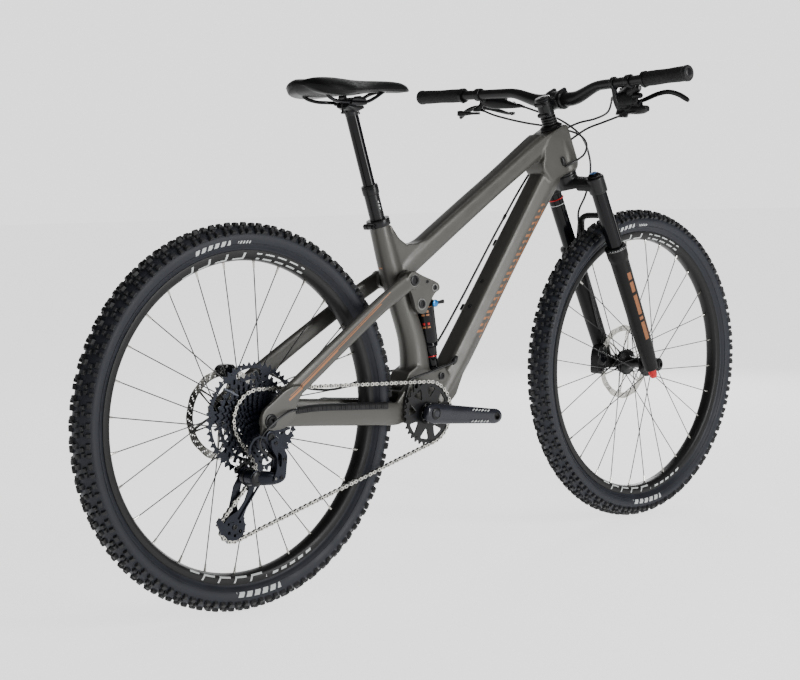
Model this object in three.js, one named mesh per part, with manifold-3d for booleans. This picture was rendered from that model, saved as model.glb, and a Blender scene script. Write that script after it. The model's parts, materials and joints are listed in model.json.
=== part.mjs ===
// Full-suspension mountain bike with 29 inch wheels and 120 mm of travel at both ends.
// Millimetres. +X points forward, +Y to the rider's left, +Z up.
// The origin lies on the ground, midway between the two wheel axles.
import * as THREE from 'three';
import { mergeVertices } from 'three/addons/utils/BufferGeometryUtils.js';
import Module from 'manifold-3d';

const wasm = await Module();
wasm.setup();

// ---------------------------------------------------------------- driving dimensions
const WHEELBASE = 1182;
const TYRE_RADIUS = 371;
const TYRE_HALF_WIDTH = 30.5;
const RIM_OUTER_RADIUS = 317;
const RIM_INNER_RADIUS = 297;
const HEAD_ANGLE = THREE.MathUtils.degToRad(66);
const FORK_OFFSET = 44;
const LEG_AHEAD = 16;
const LEG_SIDE = 68;
const FORK_SEAL = 326;
const FORK_TRAVEL = 120;
const FRONT_HUB_HALF = 54.5;
const REAR_HUB_HALF = 73.5;
const ROTOR_RADIUS = 90;
const BB = [-157.4, 336];
const CRANK_LENGTH = 170;
const CRANK_DROOP = THREE.MathUtils.degToRad(7.7);
const RING_TEETH = 32;
const ENGAGED_TEETH = 28;
const COG_TEETH = [10, 12, 14, 16, 18, 21, 24, 28, 32, 36, 42, 52];
const COG_PITCH = 3.65;
const COG_OUTER_Y = -71;
const CHAIN_PITCH = 12.7;
const RING_Y = -52;
const MAIN_PIVOT = [-178, 393];
const ROCKER_PIVOT = [-155, 560.3];
const STAY_PIVOT = [-192, 611.4];
const SHOCK_TOP = [-117.3, 592.7];
const SHOCK_FOOT = [-92, 404.6];
const STAY_FLEX = [-572, 392];
const SEAT_TOP = [-236.2, 734];
const SEAT_LEAN = THREE.MathUtils.degToRad(16.7);
const BAR_UP = 680;
const BAR_AHEAD = 45;
const BAR_HALF_WIDTH = 400;
const GAP = 0.4;
// Sides of the round pieces, from small pins to large rings.
const SMALL = 8;
const MEDIUM = 12;
const LARGE = 16;

const REAR_AXLE = [-WHEELBASE / 2, TYRE_RADIUS];
const FRONT_AXLE = [WHEELBASE / 2, TYRE_RADIUS];

// ---------------------------------------------------------------- small vector helpers
const vec = (x, y, z) => new THREE.Vector3(x, y, z);
const at = ([x, z], y = 0) => vec(x, y, z);
const SIDEWAYS = vec(0, 1, 0);

// Points on the fork and cockpit are given by height along the steering axis,
// distance ahead of it and distance to the left.
const STEER_UP = vec(-Math.cos(HEAD_ANGLE), 0, Math.sin(HEAD_ANGLE));
const STEER_AHEAD = vec(Math.sin(HEAD_ANGLE), 0, Math.cos(HEAD_ANGLE));
const STEER_FOOT = at(FRONT_AXLE).addScaledVector(STEER_AHEAD, -FORK_OFFSET);
const onSteer = (up, ahead = 0, side = 0) => STEER_FOOT.clone()
  .addScaledVector(STEER_UP, up)
  .addScaledVector(STEER_AHEAD, ahead)
  .addScaledVector(SIDEWAYS, side);

// Points on the seatpost are given by height above the top of the seat tube.
const SEAT_UP = vec(-Math.sin(SEAT_LEAN), 0, Math.cos(SEAT_LEAN));
const onSeat = (up, side = 0) => at(SEAT_TOP, side).addScaledVector(SEAT_UP, up);

// Points on the shock are given by distance below its upper eye.
const shockDown = at(SHOCK_FOOT).sub(at(SHOCK_TOP));
const SHOCK_LENGTH = shockDown.length();
shockDown.normalize();
const onShock = (down) => at(SHOCK_TOP).addScaledVector(shockDown, down);

// ---------------------------------------------------------------- solids
function solid(geometry) {
  const bare = geometry.clone();
  bare.deleteAttribute('normal');
  bare.deleteAttribute('uv');
  const merged = mergeVertices(bare, 1e-4);
  const mesh = new wasm.Mesh({
    numProp: 3,
    vertProperties: new Float32Array(merged.attributes.position.array),
    triVerts: new Uint32Array(merged.index.array),
  });
  return new wasm.Manifold(mesh);
}

function geometryOf(manifold) {
  const mesh = manifold.getMesh();
  const geometry = new THREE.BufferGeometry();
  geometry.setAttribute('position', new THREE.BufferAttribute(mesh.vertProperties, 3));
  geometry.setIndex(new THREE.BufferAttribute(mesh.triVerts, 1));
  return geometry;
}

function join(...pieces) {
  return pieces.map((p) => (p.isBufferGeometry ? solid(p) : p)).reduce((a, b) => a.add(b));
}

function cut(piece, ...tools) {
  const start = piece.isBufferGeometry ? solid(piece) : piece;
  return tools.reduce((a, b) => a.subtract(b.isBufferGeometry ? solid(b) : b), start);
}

// Straight round bar from one point to another.
function rod(from, to, radius, sides = SMALL, endRadius = radius) {
  const along = to.clone().sub(from);
  const bar = new THREE.CylinderGeometry(endRadius, radius, along.length(), sides);
  const turn = new THREE.Quaternion().setFromUnitVectors(SIDEWAYS, along.clone().normalize());
  bar.applyQuaternion(turn);
  const middle = from.clone().lerp(to, 0.5);
  bar.translate(middle.x, middle.y, middle.z);
  return bar;
}

// Round bar along Y about a point of the side view.
const pin = (place, y0, y1, radius, sides = SMALL) => rod(at(place, y0), at(place, y1), radius, sides);

// Flat plate: a side-view outline carried from one y to another.
function plate(outline, y0, y1, holes = []) {
  const shape = new THREE.Shape(outline.map(([x, z]) => new THREE.Vector2(x, z)));
  for (const [x, z, radius] of holes) {
    shape.holes.push(new THREE.Path().absarc(x, z, radius, 0, 2 * Math.PI, true));
  }
  const options = { depth: y1 - y0, bevelEnabled: false, curveSegments: 6 };
  const body = new THREE.ExtrudeGeometry(shape, options);
  body.rotateX(Math.PI / 2);
  body.translate(0, y1, 0);
  return body;
}

// Ring or disc turned about an axis along Y. Profile points are [radius, y].
function turned(profile, [x, z], segments) {
  const points = profile.map(([r, y]) => new THREE.Vector2(r, y));
  if (THREE.ShapeUtils.area(points) < 0) points.reverse();
  points.push(points[0].clone());
  const body = new THREE.LatheGeometry(points, segments);
  body.translate(x, 0, z);
  return body;
}

// Ring about an inclined axis, from one height to another.
function sleeve(from, to, inner, outer, sides = MEDIUM) {
  const along = to.clone().sub(from).normalize();
  const shank = rod(from, to, outer, sides);
  const hole = rod(from.clone().sub(along), to.clone().add(along), inner, sides);
  return cut(shank, hole);
}

const roundSection = (sides) => Array.from({ length: sides }, (_, k) => {
  const angle = (2 * Math.PI * (k + 0.5)) / sides;
  return [Math.cos(angle), Math.sin(angle)];
});
// Six and eight cornered sections of the moulded frame tubes.
const FACETED = [[1, -0.1], [0.55, 1], [-0.55, 1], [-1, -0.1], [-0.6, -1], [0.6, -1]];
const CHAMFERED = [[1, -0.5], [1, 0.5], [0.55, 1], [-0.55, 1], [-1, 0.5], [-1, -0.5], [-0.55, -1], [0.55, -1]];

// Section carried through stations [x, y, z, half width, half height].
// The section's width lies along `across` and its height square to the path.
function sweep(section, stations, across = SIDEWAYS) {
  const outline = new THREE.Shape(section.map(([x, y]) => new THREE.Vector2(x, y)));
  const steps = stations.length - 1;
  const body = new THREE.ExtrudeGeometry(outline, { depth: steps, steps, bevelEnabled: false });
  const places = stations.map(([x, y, z]) => vec(x, y, z));
  const frames = places.map((place, k) => {
    const ahead = places[Math.min(k + 1, steps)].clone().sub(places[Math.max(k - 1, 0)]).normalize();
    const side = across.clone().addScaledVector(ahead, -across.dot(ahead)).normalize();
    return { side, up: ahead.clone().cross(side) };
  });
  const corner = body.attributes.position;
  for (let i = 0; i < corner.count; i += 1) {
    const k = Math.round(corner.getZ(i));
    const [, , , width, height] = stations[k];
    const p = places[k].clone()
      .addScaledVector(frames[k].side, corner.getX(i) * width)
      .addScaledVector(frames[k].up, corner.getY(i) * height);
    corner.setXYZ(i, p.x, p.y, p.z);
  }
  return body;
}

// Hose or housing through a list of points, as a five-sided tube.
function hose(points, radius, steps) {
  const path = new THREE.CatmullRomCurve3(points.map(([x, y, z]) => vec(x, y, z)));
  const section = new THREE.Shape(roundSection(5).map(([x, y]) => new THREE.Vector2(x * radius, y * radius)));
  return new THREE.ExtrudeGeometry(section, { steps, extrudePath: path, bevelEnabled: false });
}

const mirrored = (stations) => stations.map(([x, y, ...rest]) => [x, -y, ...rest]);
const circle = ([x, z], radius, count, phase = 0) => Array.from({ length: count }, (_, k) => {
  const angle = phase + (2 * Math.PI * k) / count;
  return [x + radius * Math.cos(angle), z + radius * Math.sin(angle)];
});

// ---------------------------------------------------------------- the group and its materials
const bike = new THREE.Group();
bike.name = 'mountain_bike';

const LOOKS = {
  carbon: [0x55554f, 0.5, 0.1],
  rubber: [0x0c0c0d, 0.85, 0],
  black_metal: [0x111114, 0.38, 0.7],
  gloss_black: [0x08080a, 0.12, 0.3],
  steel: [0xb9b9b4, 0.3, 1],
  plastic: [0x0d0d0e, 0.5, 0],
  red: [0xb01218, 0.35, 0.4],
  blue: [0x1c6fae, 0.3, 0.6],
  navy_metal: [0x161a26, 0.35, 0.8],
};

function add(name, look, shape) {
  const [color, roughness, metalness] = LOOKS[look];
  const geometry = shape.isBufferGeometry ? geometryOf(solid(shape)) : geometryOf(shape);
  const material = new THREE.MeshStandardMaterial({ color, roughness, metalness });
  material.name = look;
  const mesh = new THREE.Mesh(geometry, material);
  mesh.name = name;
  bike.add(mesh);
}

// ---------------------------------------------------------------- front triangle
const HEAD_BOTTOM = 526;
const HEAD_TOP = 632;
const LUG_HALF = 28;
const SHOCK_POCKET_HALF = 14.5;
const BB_SHELL_RADIUS = 22;
const BB_SHELL_HALF = 36.5;
const POST_RADIUS = 15.8;

function frontTriangle() {
  const headTube = rod(onSteer(HEAD_BOTTOM), onSteer(HEAD_TOP), 33, LARGE, 28);
  const topTube = sweep(CHAMFERED, [
    [302, 0, 921, 23, 27],
    [236, 0, 885, 23, 25],
    [120, 0, 815, 23, 23],
    [-20, 0, 730, 23, 23.5],
    [-140, 0, 655, 22, 24],
    [-182, 0, 626, 20, 22],
  ]);
  const downTube = sweep(FACETED, [
    [309, 0, 862, 26, 36],
    [262, 0, 806, 27, 31],
    [150, 0, 664, 29, 28],
    [40, 0, 519, 30, 28],
    [-30, 0, 428, 31, 28],
    [-92, 0, 354, 32, 24],
  ]);
  const seatTube = sweep(roundSection(16), [
    [-236.2, 0, 734, 20, 20],
    [-229, 0, 710, 20.5, 20.5],
    [-205, 0, 632, 22.5, 26],
    [-178, 0, 560, 24, 30],
    [-155, 0, 490, 25, 32],
    [-143, 0, 440, 30, 34],
    [-140, 0, 402, 28, 36],
  ]);
  const shell = pin(BB, -BB_SHELL_HALF, BB_SHELL_HALF, BB_SHELL_RADIUS, LARGE);
  const gusset = plate([
    [-60, 384], [-52, 396], [-24, 442], [-12, 428], [-46, 362], [-96, 318], [-150, 314],
    [-180, 326], [-188, 372], [-195, 392], [-193, 406], [-184, 422], [-140, 470], [-104, 436], [-78, 424],
  ], -LUG_HALF, LUG_HALF);
  const rockerLug = pin(ROCKER_PIVOT, -26.5, 26.5, 15, MEDIUM);
  const pocket = plate([[-114, 384], [-72, 384], [-60, 470], [-105, 470]], -SHOCK_POCKET_HALF, SHOCK_POCKET_HALF);
  const steererBore = rod(onSteer(HEAD_BOTTOM - 5), onSteer(HEAD_TOP + 5), 21, LARGE);
  const postBore = rod(onSeat(-168), onSeat(20), POST_RADIUS + GAP, MEDIUM);
  const aboveHead = rod(onSteer(HEAD_TOP), onSteer(HEAD_TOP + 60), 62, LARGE);
  const belowHead = rod(onSteer(HEAD_BOTTOM - 80), onSteer(HEAD_BOTTOM), 42, LARGE);
  const shockWay = rod(onShock(-20), onShock(178), 22.6, LARGE);
  return cut(
    join(headTube, topTube, downTube, seatTube, shell, gusset, rockerLug),
    aboveHead,
    belowHead,
    steererBore,
    postBore,
    pocket,
    shockWay,
    pin(BB, -60, 60, 17, MEDIUM),
    pin(MAIN_PIVOT, -60, 60, 7.7),
    pin(ROCKER_PIVOT, -60, 60, 6.7),
    pin(SHOCK_FOOT, -60, 60, 5.6),
  );
}
add('front_triangle', 'carbon', frontTriangle());

// ---------------------------------------------------------------- fixed pieces of the frame
add('seat_clamp', 'black_metal', join(
  sleeve(onSeat(-10), onSeat(4), 21.6, 24.5, LARGE),
  rod(onSeat(-3, -11).add(vec(-26, 0, -8)), onSeat(-3, 11).add(vec(-26, 0, -8)), 5, SMALL),
));
add('dropper_outer', 'black_metal', cut(
  join(
    rod(onSeat(-160), onSeat(58), POST_RADIUS, MEDIUM),
    rod(onSeat(56), onSeat(76), 17.5, MEDIUM),
  ),
  rod(onSeat(-150), onSeat(80), 13.4, MEDIUM),
));
add('bottom_bracket', 'black_metal', cut(
  join(
    pin(BB, -36, 36, 16.6, MEDIUM),
    pin(BB, -42, -36.9, 22, MEDIUM),
    pin(BB, -37, -35, 16.6, MEDIUM),
    pin(BB, 35, 37, 16.6, MEDIUM),
    pin(BB, 36.9, 42, 22, MEDIUM),
  ),
  pin(BB, -60, 60, 14.8, MEDIUM),
));
const headedPin = (place, half, radius, headRadius, head) => join(
  pin(place, -half - head, -half + 0.1, headRadius),
  pin(place, -half, half, radius),
  pin(place, half - 0.1, half + head, headRadius),
);
add('main_pivot_axle', 'black_metal', headedPin(MAIN_PIVOT, 43.5, 7, 11, 2.5));
add('rocker_pivot_axle', 'black_metal', headedPin(ROCKER_PIVOT, 39.5, 6, 9, 2));
add('lower_shock_bolt', 'black_metal', headedPin(SHOCK_FOOT, 28.5, 5, 7.5, 2));

// ---------------------------------------------------------------- crown, steerer and stanchions
const STANCHION_RADIUS = 17.5;
const STANCHION_FOOT = 176;
const CROWN_TOP = 502;

function forkCrownUnit() {
  const arm = (side) => sweep(roundSection(12), [
    [...onSteer(492, 0, 0).toArray(), 25, 21],
    [...onSteer(490, 4, side * 28).toArray(), 24, 17],
    [...onSteer(480, LEG_AHEAD, side * LEG_SIDE).toArray(), 20, 16],
  ], STEER_AHEAD);
  const leg = (side) => join(
    rod(onSteer(463, LEG_AHEAD, side * LEG_SIDE), onSteer(CROWN_TOP, LEG_AHEAD, side * LEG_SIDE), 22, MEDIUM),
    rod(onSteer(STANCHION_FOOT, LEG_AHEAD, side * LEG_SIDE), onSteer(470, LEG_AHEAD, side * LEG_SIDE), STANCHION_RADIUS, MEDIUM),
  );
  const axleAtFullTravel = onSteer(FORK_TRAVEL, FORK_OFFSET);
  const tyreWay = pin([axleAtFullTravel.x, axleAtFullTravel.z], -34, 34, TYRE_RADIUS + 2, 64);
  const body = join(
    rod(onSteer(480), onSteer(522), 26, MEDIUM, 25),
    rod(onSteer(500), onSteer(560), 19.5, MEDIUM, 14.3),
    rod(onSteer(559), onSteer(699), 14.3, MEDIUM),
    arm(1), arm(-1), leg(1), leg(-1),
  );
  return cut(body, tyreWay);
}
add('fork_crown_unit', 'gloss_black', forkCrownUnit());

add('lockout_dial', 'blue', rod(
  onSteer(CROWN_TOP + GAP, LEG_AHEAD, -LEG_SIDE),
  onSteer(CROWN_TOP + 9, LEG_AHEAD, -LEG_SIDE),
  16, MEDIUM, 14,
));

// ---------------------------------------------------------------- cockpit
const barCentre = onSteer(BAR_UP, BAR_AHEAD);
const barPoint = (side, y) => {
  const reach = Math.min(Math.max((y - 40) / 100, 0), 1);
  const rise = 24 * reach * reach * (3 - 2 * reach);
  const sweepBack = Math.max(y - 60, 0) * 0.135;
  return vec(barCentre.x - sweepBack, side * y, barCentre.z + rise + Math.max(y - 140, 0) * 0.02);
};
function handlebar() {
  const half = (side) => [0, 38, 60, 85, 110, 140, 200, BAR_HALF_WIDTH - 3]
    .map((y) => [...barPoint(side, y).toArray(), y < 50 ? 15.9 : y < 120 ? 13.5 : 11.1]);
  const left = half(1);
  const right = half(-1).slice(1).reverse();
  const line = [...right, ...left].map(([x, y, z, r]) => [x, y, z, r, r]);
  return sweep(roundSection(12), line, vec(1, 0, 0));
}
add('handlebar', 'black_metal', handlebar());

add('stem', 'black_metal', cut(
  join(
    rod(onSteer(634.5), onSteer(642), 26, MEDIUM, 21),
    rod(onSteer(641), onSteer(701), 19.5, MEDIUM),
    sweep(CHAMFERED, [
      [...onSteer(BAR_UP, 6).toArray(), 17, 18],
      [...onSteer(BAR_UP, BAR_AHEAD).toArray(), 21, 20],
    ]),
    rod(onSteer(BAR_UP, BAR_AHEAD, -24), onSteer(BAR_UP, BAR_AHEAD, 24), 22, MEDIUM),
  ),
  rod(onSteer(630), onSteer(700), 14.8, MEDIUM),
  rod(barCentre.clone().add(vec(0, -60, 0)), barCentre.clone().add(vec(0, 60, 0)), 17, MEDIUM),
));

const GRIP_INNER = 262;
const barAlong = (side, y0, y1, radius, sides = MEDIUM) => rod(barPoint(side, y0), barPoint(side, y1), radius, sides);
const BAR_BORE = 12;
const barBore = (side, y0, y1) => barAlong(side, y0 - 3, y1 + 3, BAR_BORE);
for (const [name, side] of [['left', 1], ['right', -1]]) {
  add(`grip_${name}`, 'rubber', cut(
    join(
      barAlong(side, GRIP_INNER, GRIP_INNER + 9, 17.5),
      barAlong(side, GRIP_INNER + 8, BAR_HALF_WIDTH - 1, 15.5),
      barAlong(side, BAR_HALF_WIDTH - 7, BAR_HALF_WIDTH, 17),
    ),
    barAlong(side, GRIP_INNER - 10, BAR_HALF_WIDTH - 2.6, BAR_BORE),
  ));
}

// Brake master cylinder: a clamp round the bar and a long reservoir in front of and below it.
const MASTER_Y = 225;
const LEVER_PIVOT_Y = 168;
const leverPivot = (side) => barPoint(side, LEVER_PIVOT_Y).add(vec(44, 0, -30));
function brakeMaster(side, extras = []) {
  const clamp = barPoint(side, MASTER_Y);
  const front = clamp.clone().add(vec(24, 0, -14));
  return cut(
    join(
      barAlong(side, MASTER_Y - 7, MASTER_Y + 7, 15),
      sweep(CHAMFERED, [
        [clamp.x + 8, side * MASTER_Y, clamp.z - 6, 7, 6],
        [front.x, side * MASTER_Y, front.z, 7, 6],
      ]),
      sweep(roundSection(10), [
        [front.x - 4, side * (MASTER_Y + 12), front.z + 2, 6, 6],
        [front.x + 2, side * (MASTER_Y - 20), front.z - 1, 10, 9],
        [front.x + 14, side * (MASTER_Y - 55), front.z - 6, 10, 9],
        [front.x + 24, side * (MASTER_Y - 84), front.z - 14, 4.5, 4.5],
      ], vec(1, 0, 0)),
      ...extras,
    ),
    barBore(side, MASTER_Y - 7, MASTER_Y + 7),
    rod(leverPivot(side).add(vec(0, 0, -40)), leverPivot(side).add(vec(0, 0, -10.5)), 16),
  );
}
function brakeLever(side) {
  const hub = leverPivot(side);
  return join(
    rod(hub.clone().add(vec(0, 0, -17)), hub.clone().add(vec(0, 0, -11)), 6.5, SMALL),
    sweep(CHAMFERED, [
      [hub.x, hub.y, hub.z - 14, 4, 3],
      [hub.x + 12, hub.y + side * 45, hub.z - 12, 4.5, 3],
      [hub.x + 4, hub.y + side * 95, hub.z - 6, 5, 3],
      [hub.x - 4, hub.y + side * 135, hub.z - 1, 5.5, 3.2],
      [hub.x - 2, hub.y + side * 150, hub.z + 1, 5, 3],
    ], vec(1, 0, 0)),
  );
}
const remoteHub = barPoint(1, MASTER_Y).add(vec(14, 22, -34));
const remoteArm = sweep(CHAMFERED, [
  [remoteHub.x + 12, MASTER_Y + 4, remoteHub.z + 26, 5, 5],
  [remoteHub.x + 2, MASTER_Y + 12, remoteHub.z + 8, 6, 5],
  [remoteHub.x, MASTER_Y + 22, remoteHub.z + 1, 7, 6],
], vec(1, 0, 0));
add('brake_master_left', 'black_metal', brakeMaster(1, [remoteArm]));
add('brake_master_right', 'black_metal', brakeMaster(-1));
add('brake_lever_left', 'black_metal', brakeLever(1));
add('brake_lever_right', 'black_metal', brakeLever(-1));
add('dropper_lever', 'black_metal', join(
  rod(remoteHub.clone().add(vec(0, 0, -11)), remoteHub.clone().add(vec(0, 0, -5.4)), 8, SMALL),
  sweep(CHAMFERED, [
    [remoteHub.x, remoteHub.y, remoteHub.z - 8, 4, 2.5],
    [remoteHub.x - 10, remoteHub.y + 24, remoteHub.z - 8, 6, 2.5],
    [remoteHub.x - 22, remoteHub.y + 42, remoteHub.z - 6, 9, 3],
  ], vec(1, 0, 0)),
));

const SHIFTER_Y = 178;
const shifterHub = barPoint(-1, SHIFTER_Y).add(vec(30, 0, -62));
add('shifter_pod', 'plastic', cut(
  join(
    barAlong(-1, SHIFTER_Y - 5, SHIFTER_Y + 5, 14.5),
    sweep(CHAMFERED, [
      [shifterHub.x - 30, -SHIFTER_Y, shifterHub.z + 49, 5, 5],
      [shifterHub.x - 22, -SHIFTER_Y, shifterHub.z + 22, 6, 6],
      [shifterHub.x - 4, -SHIFTER_Y, shifterHub.z + 4, 11, 6],
    ]),
    rod(shifterHub.clone().add(vec(0, 0, -5)), shifterHub.clone().add(vec(0, 0, 8)), 17, 14),
  ),
  barBore(-1, SHIFTER_Y - 5, SHIFTER_Y + 5),
));
add('shifter_lever', 'plastic', join(
  rod(shifterHub.clone().add(vec(0, 0, -11)), shifterHub.clone().add(vec(0, 0, -5.4)), 9, SMALL),
  sweep(CHAMFERED, [
    [shifterHub.x, shifterHub.y, shifterHub.z - 8, 4, 2.5],
    [shifterHub.x - 16, shifterHub.y - 20, shifterHub.z - 8, 6, 2.5],
    [shifterHub.x - 32, shifterHub.y - 30, shifterHub.z - 6, 9, 3],
  ], vec(1, 0, 0)),
));

// ---------------------------------------------------------------- fork lowers
const ARCH_AHEAD = 52;
const stanchionWay = (side) => rod(
  onSteer(48, LEG_AHEAD, side * LEG_SIDE), onSteer(430, LEG_AHEAD, side * LEG_SIDE), STANCHION_RADIUS + GAP, MEDIUM,
);
function forkLowers() {
  const leg = (side) => {
    const place = (up) => onSteer(up, LEG_AHEAD, side * LEG_SIDE);
    return join(
      rod(place(-12), place(60), 15, MEDIUM, 19.5),
      rod(place(59), place(300), 19.5, MEDIUM, 22),
      rod(place(299), place(FORK_SEAL), 24, MEDIUM),
      sweep(CHAMFERED, [
        [...onSteer(22, LEG_AHEAD + 2, side * 62).toArray(), 14, 7],
        [...onSteer(4, 30, side * 62).toArray(), 14, 7],
        [...onSteer(0, FORK_OFFSET, side * 62).toArray(), 14, 7],
      ], STEER_UP),
      pin(FRONT_AXLE, side * 62 - 7, side * 62 + 7, 15, MEDIUM),
    );
  };
  const upright = (side) => sweep(CHAMFERED, [
    [...onSteer(306, LEG_AHEAD + 14, side * (LEG_SIDE - 8)).toArray(), 13, 8],
    [...onSteer(345, ARCH_AHEAD - 4, side * 54).toArray(), 10, 7],
    [...onSteer(378, ARCH_AHEAD, side * 44).toArray(), 8, 6.5],
    [...onSteer(387, ARCH_AHEAD, side * 26).toArray(), 8, 6.5],
    [...onSteer(388, ARCH_AHEAD, -side * 1).toArray(), 8, 6],
  ], STEER_AHEAD);
  return cut(
    join(leg(1), leg(-1), upright(1), upright(-1)),
    pin(FRONT_AXLE, -90, 90, 7.8),
    pin(FRONT_AXLE, -FRONT_HUB_HALF - GAP, FRONT_HUB_HALF + GAP, 14, MEDIUM),
    stanchionWay(1),
    stanchionWay(-1),
  );
}
add('fork_lowers', 'black_metal', forkLowers());
add('front_axle', 'black_metal', join(
  pin(FRONT_AXLE, -71, 71, 7.5),
  pin(FRONT_AXLE, -74, -70.5, 10),
));
add('rebound_knob', 'red', rod(
  onSteer(-12 - GAP, LEG_AHEAD, -LEG_SIDE), onSteer(-26, LEG_AHEAD, -LEG_SIDE), 9, MEDIUM,
));

// ---------------------------------------------------------------- wheels
const SPOKES = 28;
const WHEEL_SEGMENTS = 32;
function tyre(axle) {
  const half = [[309, 11.5], [309, 14.6], [319, 14.6], [329, 26], [356, TYRE_HALF_WIDTH], [TYRE_RADIUS, 15]];
  const lining = [[361, 14], [333, 21], [322, 13]];
  const across = ([r, y]) => [r, -y];
  const profile = [...half, ...half.map(across).reverse(), ...lining.map(across).reverse(), ...lining];
  return turned(profile, axle, WHEEL_SEGMENTS);
}
function rim(axle) {
  const half = [[RIM_INNER_RADIUS, 8], [303, 16.4], [RIM_OUTER_RADIUS, 17.2], [RIM_OUTER_RADIUS, 15.6], [306.5, 15.2]];
  const profile = [...half, ...half.map(([r, y]) => [r, -y]).reverse()];
  return turned(profile, axle, WHEEL_SEGMENTS);
}
// Hub shell and its crossed spokes. Each flange carries every second spoke.
function lacedHub(axle, shellProfile, flanges, flangeRadius) {
  const pieces = [solid(turned(shellProfile, axle, MEDIUM))];
  const crossing = THREE.MathUtils.degToRad(70);
  const end = RIM_INNER_RADIUS - 2.4;
  for (let k = 0; k < SPOKES; k += 1) {
    const flange = flanges[k % 2];
    const lead = Math.floor(k / 2) % 2 === 0 ? 1 : -1;
    const rimAngle = (2 * Math.PI * (k + 0.5)) / SPOKES;
    const hubAngle = rimAngle + lead * crossing;
    const [foot] = circle(axle, flangeRadius - 3, 1, hubAngle);
    const [head] = circle(axle, end, 1, rimAngle);
    pieces.push(solid(rod(at(foot, flange + lead * 2.4), at(head, Math.sign(flange) * 2.5 + lead * 0.8), 1.1, 3)));
  }
  return join(...pieces);
}
const frontShell = [
  [8, -FRONT_HUB_HALF], [10.5, -FRONT_HUB_HALF], [10.5, -37], [27, -35.5], [27, -30], [14, -27],
  [14, 24], [29, 26.2], [29, 31.8], [21, 33], [21, 37.8], [17, 37.8], [17, 42], [10.5, 42],
  [10.5, FRONT_HUB_HALF], [8, FRONT_HUB_HALF],
];
const rearShell = [
  [6.5, -REAR_HUB_HALF], [9, -REAR_HUB_HALF], [9, -28], [29, -26.2], [29, -20.4], [16, -18],
  [16, 31], [29, 33.2], [29, 38.8], [21, 40], [21, 56.8], [17, 56.8], [17, 61], [10, 61],
  [10, REAR_HUB_HALF], [6.5, REAR_HUB_HALF],
];
function rotor(axle, y) {
  const windows = 6;
  const body = plate(circle(axle, ROTOR_RADIUS, 36), y - 0.9, y + 0.9, [[...axle, 17.7]]);
  const slice = (2 * Math.PI) / windows;
  const openings = Array.from({ length: windows }, (_, k) => {
    const outer = [0.12, 0.35, 0.65, 0.88].map((part) => circle(axle, 72, 1, slice * (k + part))[0]);
    const inner = [0.8, 0.2].map((part) => circle(axle, 30, 1, slice * (k + part))[0]);
    return plate([...outer, ...inner], y - 3, y + 3);
  });
  return cut(body, ...openings);
}
function wheel(name, axle, shell, flanges, rotorY) {
  add(`${name}_tyre`, 'rubber', tyre(axle));
  add(`${name}_rim`, 'black_metal', rim(axle));
  add(`${name}_hub`, 'black_metal', lacedHub(axle, shell, flanges, 28));
  add(`${name}_rotor`, 'steel', rotor(axle, rotorY));
}
wheel('front', FRONT_AXLE, frontShell, [-32.7, 29], 39.1);
wheel('rear', REAR_AXLE, rearShell, [-23.2, 36], 58.1);

// ---------------------------------------------------------------- swingarm
const DROPOUT_IN = 74;
const ARM_IN = 30;
const ARM_OUT = 43;
const HANGER = [-600, 343];

const STAY_LINE = [
  [-585, -79.8, 373, 5.6, 15],
  [-548, -78.5, 371, 6, 16],
  [-470, -69.5, 367, 8, 20.5],
  [-376, -57.5, 357, 8.5, 22],
  [-300, -48.5, 349, 8, 23],
  [-240, -42, 342, 5, 23.5],
  [-214, -39.5, 342, 4.5, 21],
];
const PIVOT_ARM = [
  [-236, 362], [-238, 322], [-212, 320], [-199, 340], [-192, 372],
  ...circle(MAIN_PIVOT, 17, 20, -1.2).slice(0, 13), [-210, 388],
];
function chainstays() {
  const half = (side) => [
    sweep(CHAMFERED, side < 0 ? STAY_LINE : mirrored(STAY_LINE)),
    side < 0 ? plate(PIVOT_ARM, -ARM_OUT, -ARM_IN) : plate(PIVOT_ARM, ARM_IN, ARM_OUT),
    side < 0 ? pin(REAR_AXLE, -86, -DROPOUT_IN, 20, LARGE) : pin(REAR_AXLE, DROPOUT_IN, 86, 20, LARGE),
  ];
  const bridge = plate([[-214, 326], [-200, 330], [-199.5, 372], [-208, 386], [-215, 384]], -ARM_OUT, ARM_OUT);
  const hanger = plate([[-608, 366], [-609, 340], [-600, 332], [-590, 340], [-582, 366]], -83, -DROPOUT_IN);
  return cut(
    join(...half(-1), ...half(1), bridge, hanger),
    pin(REAR_AXLE, -100, 100, 6.3),
    pin(MAIN_PIVOT, -60, 60, 7.7),
    plate(circle(REAR_AXLE, TYRE_RADIUS + 4.5, 40), -36, 36),
    pin(HANGER, -100, -60, 5.4),
    plate(circle(STAY_FLEX, 14, MEDIUM), -100, -60),
    plate(circle(STAY_FLEX, 14, MEDIUM), 60, 100),
  );
}
add('chainstays', 'carbon', chainstays());
add('rear_axle', 'black_metal', join(
  pin(REAR_AXLE, -87, 87, 6),
  pin(REAR_AXLE, -88.5, -86.4, 10),
  pin(REAR_AXLE, 86.4, 89, 9),
));

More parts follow.
